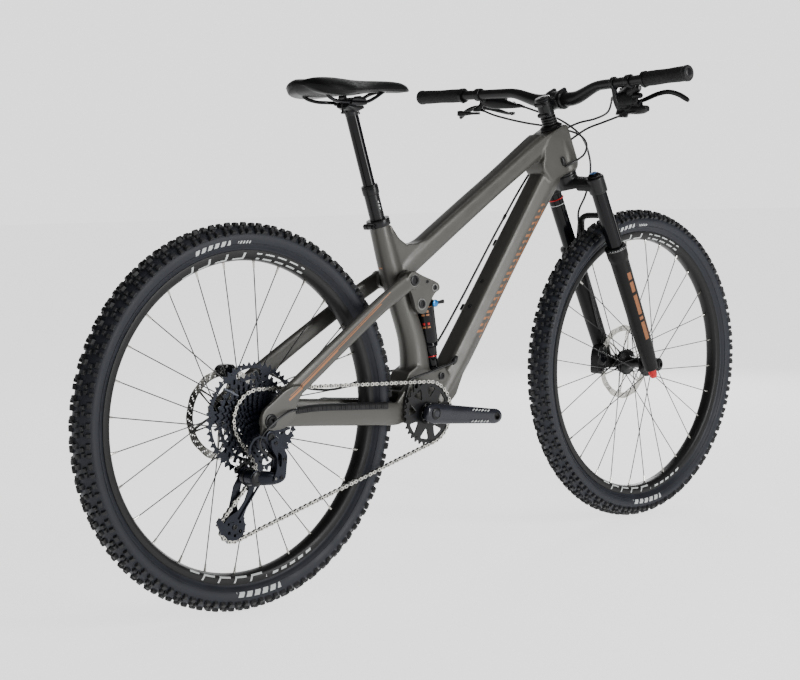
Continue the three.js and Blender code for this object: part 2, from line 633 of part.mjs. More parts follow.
// Each seatstay is hinged close to its dropout, which stands for the flex of the stays.
const SEATSTAY_LINE = [
  [-571, -79.5, 394, 5.5, 12],
  [-545, -78, 417, 7, 16],
  [-505, -75, 436, 8, 18.5],
  [-400, -66, 499, 8, 18],
  [-290, -56, 563, 8, 17.5],
  [-215, -50.5, 602, 8, 18],
  [-196, -49.5, 611, 8, 16],
];
const OPEN_PIVOT_RADIUS = 9.5;
const OPEN_BOLT_RADIUS = 5;
for (const [name, side] of [['right', -1], ['left', 1]]) {
  const line = side < 0 ? SEATSTAY_LINE : mirrored(SEATSTAY_LINE);
  const flexEnd = plate(circle(STAY_FLEX, 13, MEDIUM), side * 79.5 - 5.5, side * 79.5 + 5.5);
  const head = plate(circle(STAY_PIVOT, 19, MEDIUM), side * 49.5 - 8.5, side * 49.5 + 8.5);
  const bolt = pin(STAY_PIVOT, side * 28.5, side * 50, OPEN_BOLT_RADIUS);
  add(`seatstay_${name}`, 'carbon', cut(
    join(sweep(CHAMFERED, line), flexEnd, head, bolt),
    pin(REAR_AXLE, -100, 100, 20.8, LARGE),
  ));
}

// ---------------------------------------------------------------- rocker and shock
const ROCKER_OUTLINE = [
  [-158, 541], [-143, 543], [-136, 556], [-118, 579.5], [-104, 588], [-104.5, 598], [-115, 605.5],
  [-150, 619], [-178, 631], [-196, 631], [-210.5, 619], [-210.5, 603], [-199, 594], [-185, 588], [-176, 566], [-171, 550],
];
const ROCKER_IN = 28;
const ROCKER_OUT = 39;
add('rocker_link', 'carbon', (() => {
  const arm = (y0, y1) => cut(
    plate(ROCKER_OUTLINE, y0, y1),
    pin(ROCKER_PIVOT, -60, 60, 6.7),
    pin(STAY_PIVOT, -60, 60, OPEN_PIVOT_RADIUS, MEDIUM),
  );
  return join(
    arm(-ROCKER_OUT, -ROCKER_IN),
    arm(ROCKER_IN, ROCKER_OUT),
    pin([-138, 606], -ROCKER_IN - 1, ROCKER_IN + 1, 6.5),
    pin(SHOCK_TOP, -ROCKER_OUT + 1, ROCKER_OUT - 1, 4.2),
  );
})());

add('shock_can', 'gloss_black', cut(
  join(
    pin(SHOCK_TOP, -13, 13, 13.5, MEDIUM),
    rod(onShock(6), onShock(27), 15, MEDIUM, 19),
    rod(onShock(26), onShock(118), 20.5, MEDIUM),
    rod(onShock(117), onShock(128), 18, MEDIUM, 19.5),
  ),
  pin(SHOCK_TOP, -30, 30, 8.6, MEDIUM),
  rod(onShock(30), onShock(140), 11.8, MEDIUM),
));
add('shock_shaft', 'gloss_black', cut(
  join(
    rod(onShock(76), onShock(SHOCK_LENGTH - 8), 11.2, MEDIUM),
    pin(SHOCK_FOOT, -13.5, 13.5, 12.5, MEDIUM),
  ),
  pin(SHOCK_FOOT, -30, 30, 5.6),
));
const leverHub = onShock(36).add(vec(6, -20, 2));
add('shock_lever', 'black_metal', join(
  rod(leverHub.clone().add(vec(0, -7, 0)), leverHub.clone().add(vec(0, -1.6, 0)), 7, SMALL),
  sweep(CHAMFERED, [
    [leverHub.x + 2, leverHub.y - 4, leverHub.z, 3, 3],
    [leverHub.x + 26, leverHub.y - 5, leverHub.z + 2, 3.5, 4],
  ]),
));

// ---------------------------------------------------------------- cranks and chainring
const toothRadius = (teeth) => CHAIN_PITCH / (2 * Math.sin(Math.PI / teeth));
function toothed(teeth, thickness, y, [x, z], holes = [], tip = 2.3, root = -3.2) {
  const pitchRadius = toothRadius(teeth);
  const outline = [];
  for (let k = 0; k < teeth; k += 1) {
    const middle = (2 * Math.PI * k) / teeth;
    const half = Math.PI / teeth;
    outline.push([middle - 0.6 * half, pitchRadius + root]);
    outline.push([middle, pitchRadius + tip]);
    outline.push([middle + 0.6 * half, pitchRadius + root]);
  }
  const flat = outline.map(([angle, radius]) => [x + radius * Math.cos(angle), z + radius * Math.sin(angle)]);
  return plate(flat, y - thickness / 2, y + thickness / 2, holes);
}
const crankWay = vec(Math.cos(CRANK_DROOP), 0, -Math.sin(CRANK_DROOP));
function crankArm(side) {
  const along = crankWay.clone().multiplyScalar(-side);
  const station = (distance, y, width, height) => [
    ...at(BB, side * y).addScaledVector(along, distance).toArray(), width, height,
  ];
  const arm = sweep(CHAMFERED, [
    station(-16, 71, 7, 13),
    station(0, 71.5, 8, 19),
    station(28, 73, 8, 18),
    station(90, 78, 7.5, 15.5),
    station(150, 82.5, 7, 14),
    station(CRANK_LENGTH + 8, 83, 6.5, 13.5),
    station(CRANK_LENGTH + 14, 83, 6, 8),
  ]);
  const eye = at(BB, 0).addScaledVector(along, CRANK_LENGTH);
  return cut(arm, pin([eye.x, eye.z], side * 60, side * 100, 7));
}
add('crank_arm_right', 'navy_metal', join(
  crankArm(-1),
  pin(BB, -70, 63.2, 14.2, MEDIUM),
));
add('crank_arm_left', 'navy_metal', cut(crankArm(1), pin(BB, 50, 63.6, 30)));
add('chainring', 'black_metal', (() => {
  const windows = circle(BB, 42, 6, 0.3).map(([x, z]) => [x, z, 13]);
  const ring = toothed(RING_TEETH, 1.8, RING_Y, BB, windows);
  return cut(
    join(ring, pin(BB, -58, -46.5, 23, MEDIUM)),
    pin(BB, -70, -40, 14.6, MEDIUM),
  );
})());

// ---------------------------------------------------------------- cassette
const cogY = (index) => COG_OUTER_Y + COG_PITCH * index;
const ENGAGED_Y = cogY(COG_TEETH.indexOf(ENGAGED_TEETH));
// Stepped cone: each cog's rim reaches back to the next larger cog.
add('cassette', 'navy_metal', turned([
  [9.6, cogY(0) - 0.8],
  ...COG_TEETH.flatMap((teeth, index) => {
    const radius = toothRadius(teeth) - (teeth === ENGAGED_TEETH ? 4.4 : -1);
    return [[radius, cogY(index) - 0.8], [radius, cogY(index + 1) - 0.8]];
  }),
  [9.6, cogY(COG_TEETH.length) - 0.8],
], REAR_AXLE, 20));

// ---------------------------------------------------------------- rear derailleur
const GUIDE_PULLEY = [-624, 278];
const TENSION_PULLEY = [-656, 176];
const GUIDE_TEETH = 12;
const TENSION_TEETH = 14;
const CAGE_PIVOT = [-628, 268];
function pulley(teeth, place, tip, root) {
  return toothed(teeth, 1.8, ENGAGED_Y, place, [[place[0], place[1], 4.4]], tip, root);
}
// The chain's closed back runs over the guide pulley, so that pulley's teeth stay below it.
add('guide_pulley', 'plastic', pulley(GUIDE_TEETH, GUIDE_PULLEY, -4.7, -8));
add('tension_pulley', 'plastic', pulley(TENSION_TEETH, TENSION_PULLEY, 2.2, -3.4));

const CAGE_OUTLINE = [
  [-612, 276], [-616, 262], [-640, 196], [-637, 172], [-646, 160], [-660, 156], [-672, 162],
  [-676, 176], [-664, 196], [-642, 262], [-640, 280], [-626, 290],
];
add('derailleur_cage', 'navy_metal', join(
  plate(CAGE_OUTLINE, ENGAGED_Y - 6.5, ENGAGED_Y - 4.5),
  plate(CAGE_OUTLINE, ENGAGED_Y + 4.2, ENGAGED_Y + 5.6),
  pin(GUIDE_PULLEY, ENGAGED_Y - 5, ENGAGED_Y + 5, 4, SMALL),
  pin(TENSION_PULLEY, ENGAGED_Y - 5, ENGAGED_Y + 5, 4, SMALL),
  pin(CAGE_PIVOT, ENGAGED_Y - 12, ENGAGED_Y - 5.5, 8, 14),
));

const KNUCKLE_OUT = -88;
add('derailleur_body', 'navy_metal', join(
  // lower knuckle round the cage pivot
  cut(
    pin(CAGE_PIVOT, KNUCKLE_OUT, ENGAGED_Y - 7, 17, MEDIUM),
    pin(CAGE_PIVOT, ENGAGED_Y - 13, ENGAGED_Y - 3, 8.5, 14),
  ),
  // parallelogram links
  sweep(CHAMFERED, [
    [-624, -80, 270, 6, 12],
    [-596, -93, 268, 8, 13],
    [-580, -98, 278, 9, 13],
    [-581, -98, 305, 9, 14],
  ]),
  // upper knuckle and its bolt into the hanger
  sweep(CHAMFERED, [
    [-581, -97, 300, 9, 12],
    [-590, -94, 322, 9, 13],
    [-600, -91, 343, 7, 12],
  ]),
  pin(HANGER, -95, -75, 5, SMALL),
));

// ---------------------------------------------------------------- chain
// The loop runs over the engaged cog, the chainring, the tension pulley and the guide pulley.
const SPROCKETS = [
  { centre: REAR_AXLE, radius: toothRadius(ENGAGED_TEETH), y: ENGAGED_Y, sense: 1 },
  { centre: BB, radius: toothRadius(RING_TEETH), y: RING_Y, sense: 1 },
  { centre: TENSION_PULLEY, radius: toothRadius(TENSION_TEETH), y: ENGAGED_Y, sense: 1 },
  { centre: GUIDE_PULLEY, radius: toothRadius(GUIDE_TEETH), y: ENGAGED_Y, sense: -1 },
];
// Direction of the straight run that leaves one sprocket for the next.
function runHeading(from, to) {
  const dx = to.centre[0] - from.centre[0];
  const dz = to.centre[1] - from.centre[1];
  const offset = from.sense * from.radius - to.sense * to.radius;
  const run = Math.sqrt(dx * dx + dz * dz - offset * offset);
  return Math.atan2(dz, dx) - Math.atan2(offset, run);
}
const headings = SPROCKETS.map((s, k) => runHeading(s, SPROCKETS[(k + 1) % SPROCKETS.length]));
function arcStations(k, steps) {
  const { centre, radius, y, sense } = SPROCKETS[k];
  const start = headings[(k + SPROCKETS.length - 1) % SPROCKETS.length];
  let turn = headings[k] - start;
  while (sense * turn > 0) turn -= sense * 2 * Math.PI;
  return Array.from({ length: steps + 1 }, (_, i) => {
    const heading = start + (turn * i) / steps;
    const x = centre[0] - sense * radius * Math.sin(heading);
    const z = centre[1] + sense * radius * Math.cos(heading);
    return [x, y, z, heading];
  });
}
const CHAIN_SECTION = [
  [-2.5, -4.2], [-1.35, -4.2], [-1.35, 3], [1.35, 3], [1.35, -4.2], [2.5, -4.2], [2.5, 4.2], [-2.5, 4.2],
];
// Open channel over the sprocket teeth. Its back always faces away from the loop's inside.
function chainRun(stations) {
  return sweep(CHAIN_SECTION, stations.map(([x, y, z]) => [x, y, z, 1, 1]));
}
const between = (a, b, t) => a.map((value, i) => value + (b[i] - value) * t);
const overCog = arcStations(0, 14);
const overRing = arcStations(1, 15);
const overTension = arcStations(2, 8);
const overGuide = arcStations(3, 5);
const cogEnd = overCog[overCog.length - 1];
const ringEnd = overRing[overRing.length - 1];
// The loop is cut across both long runs, with a hair of clearance at each cut.
const CUT = 0.001;
add('chain_front', 'steel', chainRun([
  between(cogEnd, overRing[0], 0.5 + CUT), ...overRing, between(ringEnd, overTension[0], 0.5 - CUT),
]));
add('chain_rear', 'steel', chainRun([
  between(ringEnd, overTension[0], 0.5 + CUT), ...overTension, ...overGuide, ...overCog,
  between(cogEnd, overRing[0], 0.5 - CUT),
]));

// ---------------------------------------------------------------- seat
const RAIL_SIDE = 22;
add('dropper_stanchion', 'gloss_black', join(
  rod(onSeat(6), onSeat(232), 13, MEDIUM),
  sweep(CHAMFERED, [
    [-322, 0, 955, 28, 5],
    [-303, 0, 957, 29, 9],
    [-284, 0, 955, 28, 5],
  ]),
  sweep(CHAMFERED, [
    [-314, 0, 968, 13, 9],
    [-292, 0, 968, 13, 9],
  ]),
  sweep(CHAMFERED, [
    [-318, 0, 977.5, 28, 2.8],
    [-288, 0, 977.5, 28, 2.8],
  ]),
));
add('saddle_rails', 'black_metal', hose([
  [-394, 36, 984], [-372, 30, 975], [-345, 23, 970.2], [-303, RAIL_SIDE, 970.2], [-255, RAIL_SIDE, 970.2],
  [-215, 18, 974], [-192, 9, 977], [-187, 0, 977.5], [-192, -9, 977], [-215, -18, 974],
  [-255, -RAIL_SIDE, 970.2], [-303, -RAIL_SIDE, 970.2], [-345, -23, 970.2], [-372, -30, 975], [-394, -36, 984],
], 3.4, 28));
add('saddle', 'rubber', sweep(CHAMFERED, [
  [-419, 0, 1005, 46, 9],
  [-404, 0, 1006, 66, 14],
  [-355, 0, 1003, 70, 15.5],
  [-305, 0, 998, 52, 14],
  [-255, 0, 995, 30, 12.5],
  [-205, 0, 994, 21, 12],
  [-165, 0, 991, 17, 10],
  [-151, 0, 989, 11, 6],
]));

// ---------------------------------------------------------------- brake calipers
const CALIPER_PLACE = [504, 383];
const FRONT_ROTOR_Y = 39.1;
const REAR_ROTOR_Y = 58.1;
const legRod = (radius) => rod(
  onSteer(-12, LEG_AHEAD, LEG_SIDE), onSteer(140, LEG_AHEAD, LEG_SIDE), radius, 20, radius + 2,
);
add('front_brake_caliper', 'black_metal', cut(
  plate([
    [484, 352], [505, 348], [516, 362], [524, 405], [515, 421], [495, 418], [487, 400],
  ], 29.6, 58),
  plate(circle(FRONT_AXLE, ROTOR_RADIUS + 3, 40), FRONT_ROTOR_Y - 2.2, FRONT_ROTOR_Y + 2.2),
  legRod(20.8),
));
add('rear_brake_caliper', 'black_metal', cut(
  plate([
    [-617, 446], [-606, 438], [-566, 440], [-553, 448], [-553, 464], [-566, 476], [-604, 476], [-617, 464],
  ], 43, 72),
  plate(circle(REAR_AXLE, ROTOR_RADIUS + 3, 40), REAR_ROTOR_Y - 2.2, REAR_ROTOR_Y + 2.2),
));

// ---------------------------------------------------------------- hoses and housings
const HOSE_RADIUS = 2.5;
const masterEnd = (side) => {
  const clamp = barPoint(side, MASTER_Y);
  return [clamp.x + 50, side * (MASTER_Y - 88), clamp.z - 30];
};
add('front_brake_hose', 'plastic', hose([
  masterEnd(1),
  [366, 100, 972], [395, 60, 952], [425, 25, 915], [446, 18, 866], [450, 20, 822],
  onSteer(432, 72, 27).toArray(), onSteer(404, 44, 36).toArray(), onSteer(370, 36, 41).toArray(),
  onSteer(330, 26, 41.3).toArray(), onSteer(240, 12, 41.5).toArray(), onSteer(130, 2, 42).toArray(),
  [512, 38, 448], [506, 34, 424],
], HOSE_RADIUS, 30));
add('rear_brake_hose', 'plastic', hose([
  masterEnd(-1),
  [372, -100, 962], [389, -50, 950], [385, 0, 942], [372, 36, 925],
  [336, 50, 893], [300, 44, 862], [255, 33, 829], [208, 29, 782], [128, 28, 687], [18, 28, 548],
  [-46, 34, 466], [-86, 45, 430], [-128, 55, 418], [-178, 58, 414], [-235, 62, 404],
  [-300, 62, 392], [-360, 62, 396], [-420, 60, 412], [-480, 58, 440], [-520, 57.5, 456], [-551, 57.5, 460],
], HOSE_RADIUS, 44));
add('shifter_housing', 'plastic', hose([
  [shifterHub.x + 19, -SHIFTER_Y + 5, shifterHub.z + 1],
  [366, -140, 951], [380, -80, 940], [382, -30, 928], [378, 14, 906], [352, 40, 880], [330, 41, 860], [316, 36.5, 850],
], HOSE_RADIUS, 18));
add('dropper_housing', 'plastic', hose([
  [remoteHub.x + 9.4, remoteHub.y - 6, remoteHub.z],
  [326, 200, 968], [356, 140, 950], [392, 70, 935], [410, 20, 918], [398, -14, 896],
  [364, -38, 872], [336, -42, 858], [320, -38.5, 850],
], HOSE_RADIUS, 22));
add('derailleur_housing_front', 'plastic', hose([
  [-53, -32.6, 436], [-66, -37, 432], [-86, -40, 428], [-112, -42, 424], [-142, -45.9, 419],
  [-168, -45.9, 415], [-196, -45.9, 408], [-206, -45.9, 390], [-214, -46.8, 366],
], 2, 14));
add('derailleur_housing_rear', 'plastic', hose([
  [-538, -88, 386], [-556, -93, 384], [-584, -97, 372], [-612, -96, 356], [-622, -93, 340], [-616, -90, 324], [-604, -92, 312],
], 2, 12));

export default bike;
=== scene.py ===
"""A full-suspension mountain bike: the visible model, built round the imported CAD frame.

Lengths are millimetres in the frame's axes (+X forward, +Y to the rider's left, +Z up) and
become metres when a mesh is made. Pivot places come from the frame's joints.
"""
import json
import math

import bmesh
import bpy
from mathutils import Matrix, Vector
from mathutils.geometry import tessellate_polygon


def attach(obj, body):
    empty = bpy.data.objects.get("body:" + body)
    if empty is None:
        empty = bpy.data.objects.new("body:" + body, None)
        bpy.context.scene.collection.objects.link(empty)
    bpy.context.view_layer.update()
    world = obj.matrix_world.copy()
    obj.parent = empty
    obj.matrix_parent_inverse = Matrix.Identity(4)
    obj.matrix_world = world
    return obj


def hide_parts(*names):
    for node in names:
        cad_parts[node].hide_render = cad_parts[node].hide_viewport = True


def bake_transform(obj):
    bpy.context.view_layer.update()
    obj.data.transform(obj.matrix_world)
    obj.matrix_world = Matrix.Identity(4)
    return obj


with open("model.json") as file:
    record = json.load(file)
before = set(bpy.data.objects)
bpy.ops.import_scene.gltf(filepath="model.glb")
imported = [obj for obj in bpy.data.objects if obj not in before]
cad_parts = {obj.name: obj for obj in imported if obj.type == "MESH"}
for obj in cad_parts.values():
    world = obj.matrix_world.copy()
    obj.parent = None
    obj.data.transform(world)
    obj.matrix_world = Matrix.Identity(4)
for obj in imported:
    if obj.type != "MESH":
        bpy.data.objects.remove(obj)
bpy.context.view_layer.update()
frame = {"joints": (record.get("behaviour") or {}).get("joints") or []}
MM = 0.001
REST_PLACE = "rest_place"
SCENE = bpy.context.scene
JOINTS = {joint["name"]: joint for joint in frame["joints"]}


def pivot(joint):
    """A joint's place in the frame, in millimetres."""
    return Vector(JOINTS[joint]["pos_m"]) / MM


# ---------------------------------------------------------------- places from the frame
FORWARD = Vector((1, 0, 0))
SIDE = Vector((0, 1, 0))
UP = Vector((0, 0, 1))
REAR_AXLE = pivot("rear_wheel_spin")
FRONT_AXLE = pivot("front_wheel_spin")
BB = pivot("crank_spin")
MAIN_PIVOT = pivot("suspension")
ROCKER_PIVOT = pivot("rocker_turn")
SHOCK_FOOT = pivot("shock_swing")
STAY_FLEX = pivot("stay_flex")
CAGE_PIVOT = pivot("cage_swing")
GUIDE_PULLEY = pivot("guide_pulley_spin")
TENSION_PULLEY = pivot("tension_pulley_spin")
STEER_FOOT = pivot("steer")
STEER_UP = Vector(JOINTS["steer"]["axis"])
STEER_AHEAD = Vector((STEER_UP.z, 0, -STEER_UP.x))
SEAT_UP = Vector(JOINTS["seat_drop"]["axis"])
SHOCK_UP = Vector(JOINTS["shock_stroke"]["axis"])

# ---------------------------------------------------------------- driving dimensions
TYRE_RADIUS = 371
RIM_INNER = 297
SPOKES = 28
FRONT_HUB_HALF = 54.5
FLANGE_RADIUS = 28
ROTOR_RADIUS = 90
FRONT_ROTOR_Y = 39.1
REAR_ROTOR_Y = 58.1
LEG_AHEAD = 16
LEG_SIDE = 68
FORK_OFFSET = 44
FORK_SEAL = 326
FORK_TRAVEL = 120
ARCH_AHEAD = 52
CROWN_TOP = 502
STANCHION_RADIUS = 17.5
HEAD_BOTTOM = 526
HEAD_TOP = 632
CRANK_LENGTH = 170
CRANK_DROOP = math.radians(7.7)
RING_TEETH = 32
RING_Y = -52
COG_TEETH = (10, 12, 14, 16, 18, 21, 24, 28, 32, 36, 42, 52)
ENGAGED_COG = 7
COG_PITCH = 3.65
COG_OUTER_Y = -71
CHAIN_PITCH = 12.7
SEAT_TOP = Vector((-236.2, 0, 734))
STAY_PIVOT = Vector((-192, 0, 611.4))
SHOCK_TOP = Vector((-117.3, 0, 592.7))
HANGER = Vector((-600, 0, 343))
BAR_UP = 680
BAR_AHEAD = 45
HOSE_RADIUS = 2.5
HOUSING_RADIUS = 2.2
MOULDED_CREASE = 58

ENGAGED_Y = COG_OUTER_Y + COG_PITCH * ENGAGED_COG


def on_steer(up, ahead=0.0, side=0.0):
    """Place in the fork's own axes: up the steerer, ahead of it and to the left."""
    return STEER_FOOT + STEER_UP * up + STEER_AHEAD * ahead + SIDE * side


def on_leg(up, side):
    """Place on a fork leg's middle line: side is 1 on the left, -1 on the right."""
    return on_steer(up, LEG_AHEAD, side * LEG_SIDE)


def on_seat(up):
    """Place on the seat tube's middle line, up from its top end."""
    return SEAT_TOP + SEAT_UP * up


def on_shock(down):
    """Place on the shock's middle line, down from its top bolt."""
    return SHOCK_TOP - SHOCK_UP * down


def at(place, y):
    """The place moved sideways to another y."""
    return Vector((place.x, y, place.z))


def around(place, radius, angle, y=0.0):
    """Point on a circle round a sideways axle; the angle runs from forward towards up."""
    return Vector((place.x + radius * math.cos(angle), y, place.z + radius * math.sin(angle)))


def outward(angle):
    """Direction away from a sideways axle."""
    return Vector((math.cos(angle), 0, math.sin(angle)))


def mirror(rows):
    """The same rows on the other side of the bicycle."""
    return [(x, -y, *rest) for x, y, *rest in rows]


# ---------------------------------------------------------------- mesh building
def eased(rows, steps, loop=False):
    """Rows of numbers carried on a Catmull-Rom curve, `steps` rows to each span."""
    rows = [tuple(row) for row in rows]
    count = len(rows)

    def row(k):
        if loop:
            return rows[k % count]
        if k < 0:
            return tuple(2 * a - b for a, b in zip(rows[0], rows[1]))
        if k >= count:
            return tuple(2 * a - b for a, b in zip(rows[-1], rows[-2]))
        return rows[k]

    out = []
    for k in range(count if loop else count - 1):
        spans = list(zip(row(k - 1), row(k), row(k + 1), row(k + 2)))
        for i in range(steps):
            t = i / steps
            out.append(tuple(
                0.5 * (2 * b + (c - a) * t + (2 * a - 5 * b + 4 * c - d) * t * t
                       + (3 * b - a - 3 * c + d) * t ** 3)
                for a, b, c, d in spans))
    if not loop:
        out.append(rows[-1])
    return out


def round_section(count, power=2.0):
    """Superellipse: power 2 is a circle, higher is squarer."""
    points = []
    for k in range(count):
        angle = 2 * math.pi * (k + 0.5) / count
        c, s = math.cos(angle), math.sin(angle)
        points.append((math.copysign(abs(c) ** (2 / power), c), math.copysign(abs(s) ** (2 / power), s)))
    return points


def soft_corners(polygon, reach=0.22, steps=3):
    """Polygon with each corner turned into a short curve."""
    out = []
    count = len(polygon)
    for k, corner in enumerate(polygon):
        corner = Vector(corner)
        before = corner.lerp(Vector(polygon[k - 1]), reach)
        after = corner.lerp(Vector(polygon[(k + 1) % count]), reach)
        for i in range(steps + 1):
            t = i / steps
            out.append(tuple(before.lerp(corner, t).lerp(corner.lerp(after, t), t)))
    return out


class Shape:
    """Closed solids gathered into one mesh, in millimetres. `skin` picks the material slot."""

    def __init__(self):
        self.verts = []
        self.faces = []
        self.skins = []
        self.skin = 0

    def paint(self, skin):
        self.skin = skin
        return self

    def add(self, verts, faces):
        base = len(self.verts)
        self.verts.extend(verts)
        self.faces.extend(tuple(base + k for k in face) for face in faces)
        self.skins.extend([self.skin] * len(faces))
        return self

    def rings(self, rings, loop=False):
        count = len(rings[0])
        faces = []
        for i in range(len(rings) if loop else len(rings) - 1):
            a = i * count
            b = (i + 1) % len(rings) * count
            faces += [(a + k, a + (k + 1) % count, b + (k + 1) % count, b + k) for k in range(count)]
        if not loop:
            last = (len(rings) - 1) * count
            faces.append(tuple(range(count)))
            faces.append(tuple(last + k for k in range(count)))
        return self.add([point for ring in rings for point in ring], faces)

    def turned(self, origin, axis, profile, segments=48, loop=False, phase=0.0):
        """Profile of (radius, height along the axis), spun; loop joins its last point to its first."""
        axis = Vector(axis).normalized()
        u = axis.orthogonal().normalized() if abs(axis.y) < 0.99 else FORWARD
        v = axis.cross(u)
        rings = []
        for radius, height in profile:
            rings.append([
                origin + axis * height + (u * math.cos(angle) + v * math.sin(angle)) * radius
                for angle in (phase + 2 * math.pi * k / segments for k in range(segments))])
        return self.rings(rings, loop)

    def rod(self, a, b, radius, end_radius=None, segments=24, edge=0.6):
        end_radius = radius if end_radius is None else end_radius
        length = (b - a).length
        edge = min(edge, radius * 0.4, length * 0.3)
        profile = [(radius - edge, 0), (radius, edge), (end_radius, length - edge),
                   (end_radius - edge, length)]
        return self.turned(a, b - a, profile, segments)

    def pin(self, place, y0, y1, radius, segments=32, edge=0.6):
        return self.rod(at(place, y0), at(place, y1), radius, segments=segments, edge=edge)

    def sweep(self, section, stations, across=SIDE, steps=1, loop=False):
        """Section carried through stations (x, y, z, half width, half height)."""
        rows = eased(stations, steps, loop) if steps > 1 else [tuple(row) for row in stations]
        points = [Vector(row[:3]) for row in rows]
        count = len(points)
        rings = []
        side = Vector(across)
        for k, row in enumerate(rows):
            if loop:
                tangent = points[(k + 1) % count] - points[k - 1]
            else:
                tangent = points[min(k + 1, count - 1)] - points[max(k - 1, 0)]
            tangent.normalize()
            side = side - tangent * side.dot(tangent)
            side.normalize()
            up = tangent.cross(side)
            rings.append([points[k] + side * (x * row[3]) + up * (y * row[4]) for x, y in section])
        return self.rings(rings, loop)

    def hose(self, points, radius, steps=6, sides=12):
        """Round tube on a smooth line through the points."""
        rows = [(*point, radius, radius) for point in points]
        first = Vector(points[1]) - Vector(points[0])
        return self.sweep(round_section(sides), rows, first.orthogonal(), steps)

    def plate(self, loops, y0, y1):
        """Outline (x, z), with holes after it, between two sides of the bicycle."""
        flat = [[Vector((x, z, 0)) for x, z in loop] for loop in loops]
        fill = tessellate_polygon(flat)
        points = [point for loop in flat for point in loop]
        total = len(points)
        verts = [Vector((p.x, y0, p.y)) for p in points] + [Vector((p.x, y1, p.y)) for p in points]
        faces = [tuple(face) for face in fill] + [tuple(total + k for k in face) for face in fill]
        start = 0
        for loop in flat:
            size = len(loop)
            faces += [(start + k, start + (k + 1) % size, total + start + (k + 1) % size, total + start + k)
                      for k in range(size)]
            start += size
        return self.add(verts, faces)

    def block(self, centre, along, across, out, size, top=0.8, chamfer=0.25):
        """Tapered block with a chamfered top, such as a tread knob: size is (length, width, height)."""
        length, width, height = size
        verts = []
        for scale, level in ((1.0, 0.0), (1.0 - (1 - top) * 0.6, 1 - chamfer), (top * 0.86, 1.0)):
            for x, y in ((-1, -1), (1, -1), (1, 1), (-1, 1)):
                verts.append(centre + along * (x * length / 2 * scale) + across * (y * width / 2 * scale)
                             + out * (height * level))
        faces = [(0, 1, 2, 3), (8, 9, 10, 11)]
        for base in (0, 4):
            faces += [(base + k, base + (k + 1) % 4, base + 4 + (k + 1) % 4,
                       base + 4 + k) for k in range(4)]
        return self.add(verts, faces)

    def notches(self, place, radius, y, count, size):
        """Blocks of (length, width, height) set round an axle and standing outwards."""
        for k in range(count):
            angle = 2 * math.pi * k / count
            out = outward(angle)
            self.block(around(place, radius, angle, y), Vector((-out.z, 0, out.x)), SIDE, out, size)
        return self

    def bolt(self, place, axis, radius, height):
        """Screw head with a round recess in its top."""
        return self.turned(place, axis, [
            (radius * 0.9, 0), (radius, height * 0.2), (radius, height * 0.8), (radius * 0.86, height),
            (radius * 0.55, height), (radius * 0.5, height * 0.35)], 20)

    def ring(self, place, axis, inner, outer, height, segments=32):
        """Flat ring with softened edges."""
        edge = min(0.5, (outer - inner) * 0.25, height * 0.3)
        return self.turned(place, axis, [
            (inner, 0), (outer - edge, 0), (outer, edge), (outer, height - edge), (outer - edge, height),
            (inner, height)], segments, loop=True)


def circle(place, radius, count=32, phase=0.0):
    """Outline (x, z) of a circle, for a plate or a hole in one."""
    return [(place.x + radius * math.cos(phase + 2 * math.pi * k / count),
             place.z + radius * math.sin(phase + 2 * math.pi * k / count)) for k in range(count)]


def mesh_of(shape, name="work", materials=(), crease=38):
    """Mesh in metres, its faces turned outwards, smooth across edges that bend less than the crease."""
    mesh = bpy.data.meshes.new(name)
    mesh.from_pydata([tuple(point * MM) for point in shape.verts], [], shape.faces)
    for material in materials:
        mesh.materials.append(material)
    mesh.polygons.foreach_set("material_index", shape.skins)
    work = bmesh.new()
    work.from_mesh(mesh)
    bmesh.ops.recalc_face_normals(work, faces=work.faces)
    limit = math.radians(crease)
    for edge in work.edges:
        edge.smooth = len(edge.link_faces) == 2 and edge.calc_face_angle(0) < limit
    for face in work.faces:
        face.smooth = True
    work.to_mesh(mesh)
    work.free()
    return mesh


def piece(name, shape, looks, body, stands_for=(), bevel=0.0, crease=38):
    """Makes the object, gives it its finishes, and rides it on a body of the frame; a piece given two
    bodies stays where it is made.
    """
    looks = [looks] if isinstance(looks, str) else looks
    mesh = mesh_of(shape, name, [LOOKS[look][0] for look in looks], crease)
    # the finishes read each point's place at rest, which is kept on the mesh as an attribute
    places = [number for vertex in mesh.vertices for number in vertex.co]
    mesh.attributes.new(REST_PLACE, "FLOAT_VECTOR", "POINT").data.foreach_set("vector", places)
    thing = bpy.data.objects.new(name, mesh)
    SCENE.collection.objects.link(thing)
    if bevel:
        rounded = thing.modifiers.new("rounded edges", "BEVEL")
        rounded.width = bevel * MM
        rounded.segments = 2
        rounded.limit_method = "ANGLE"
        rounded.angle_limit = math.radians(crease)
    if isinstance(body, str):
        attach(thing, body)
    else:
        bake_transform(thing)
    if stands_for:
        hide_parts(*stands_for)
    return thing


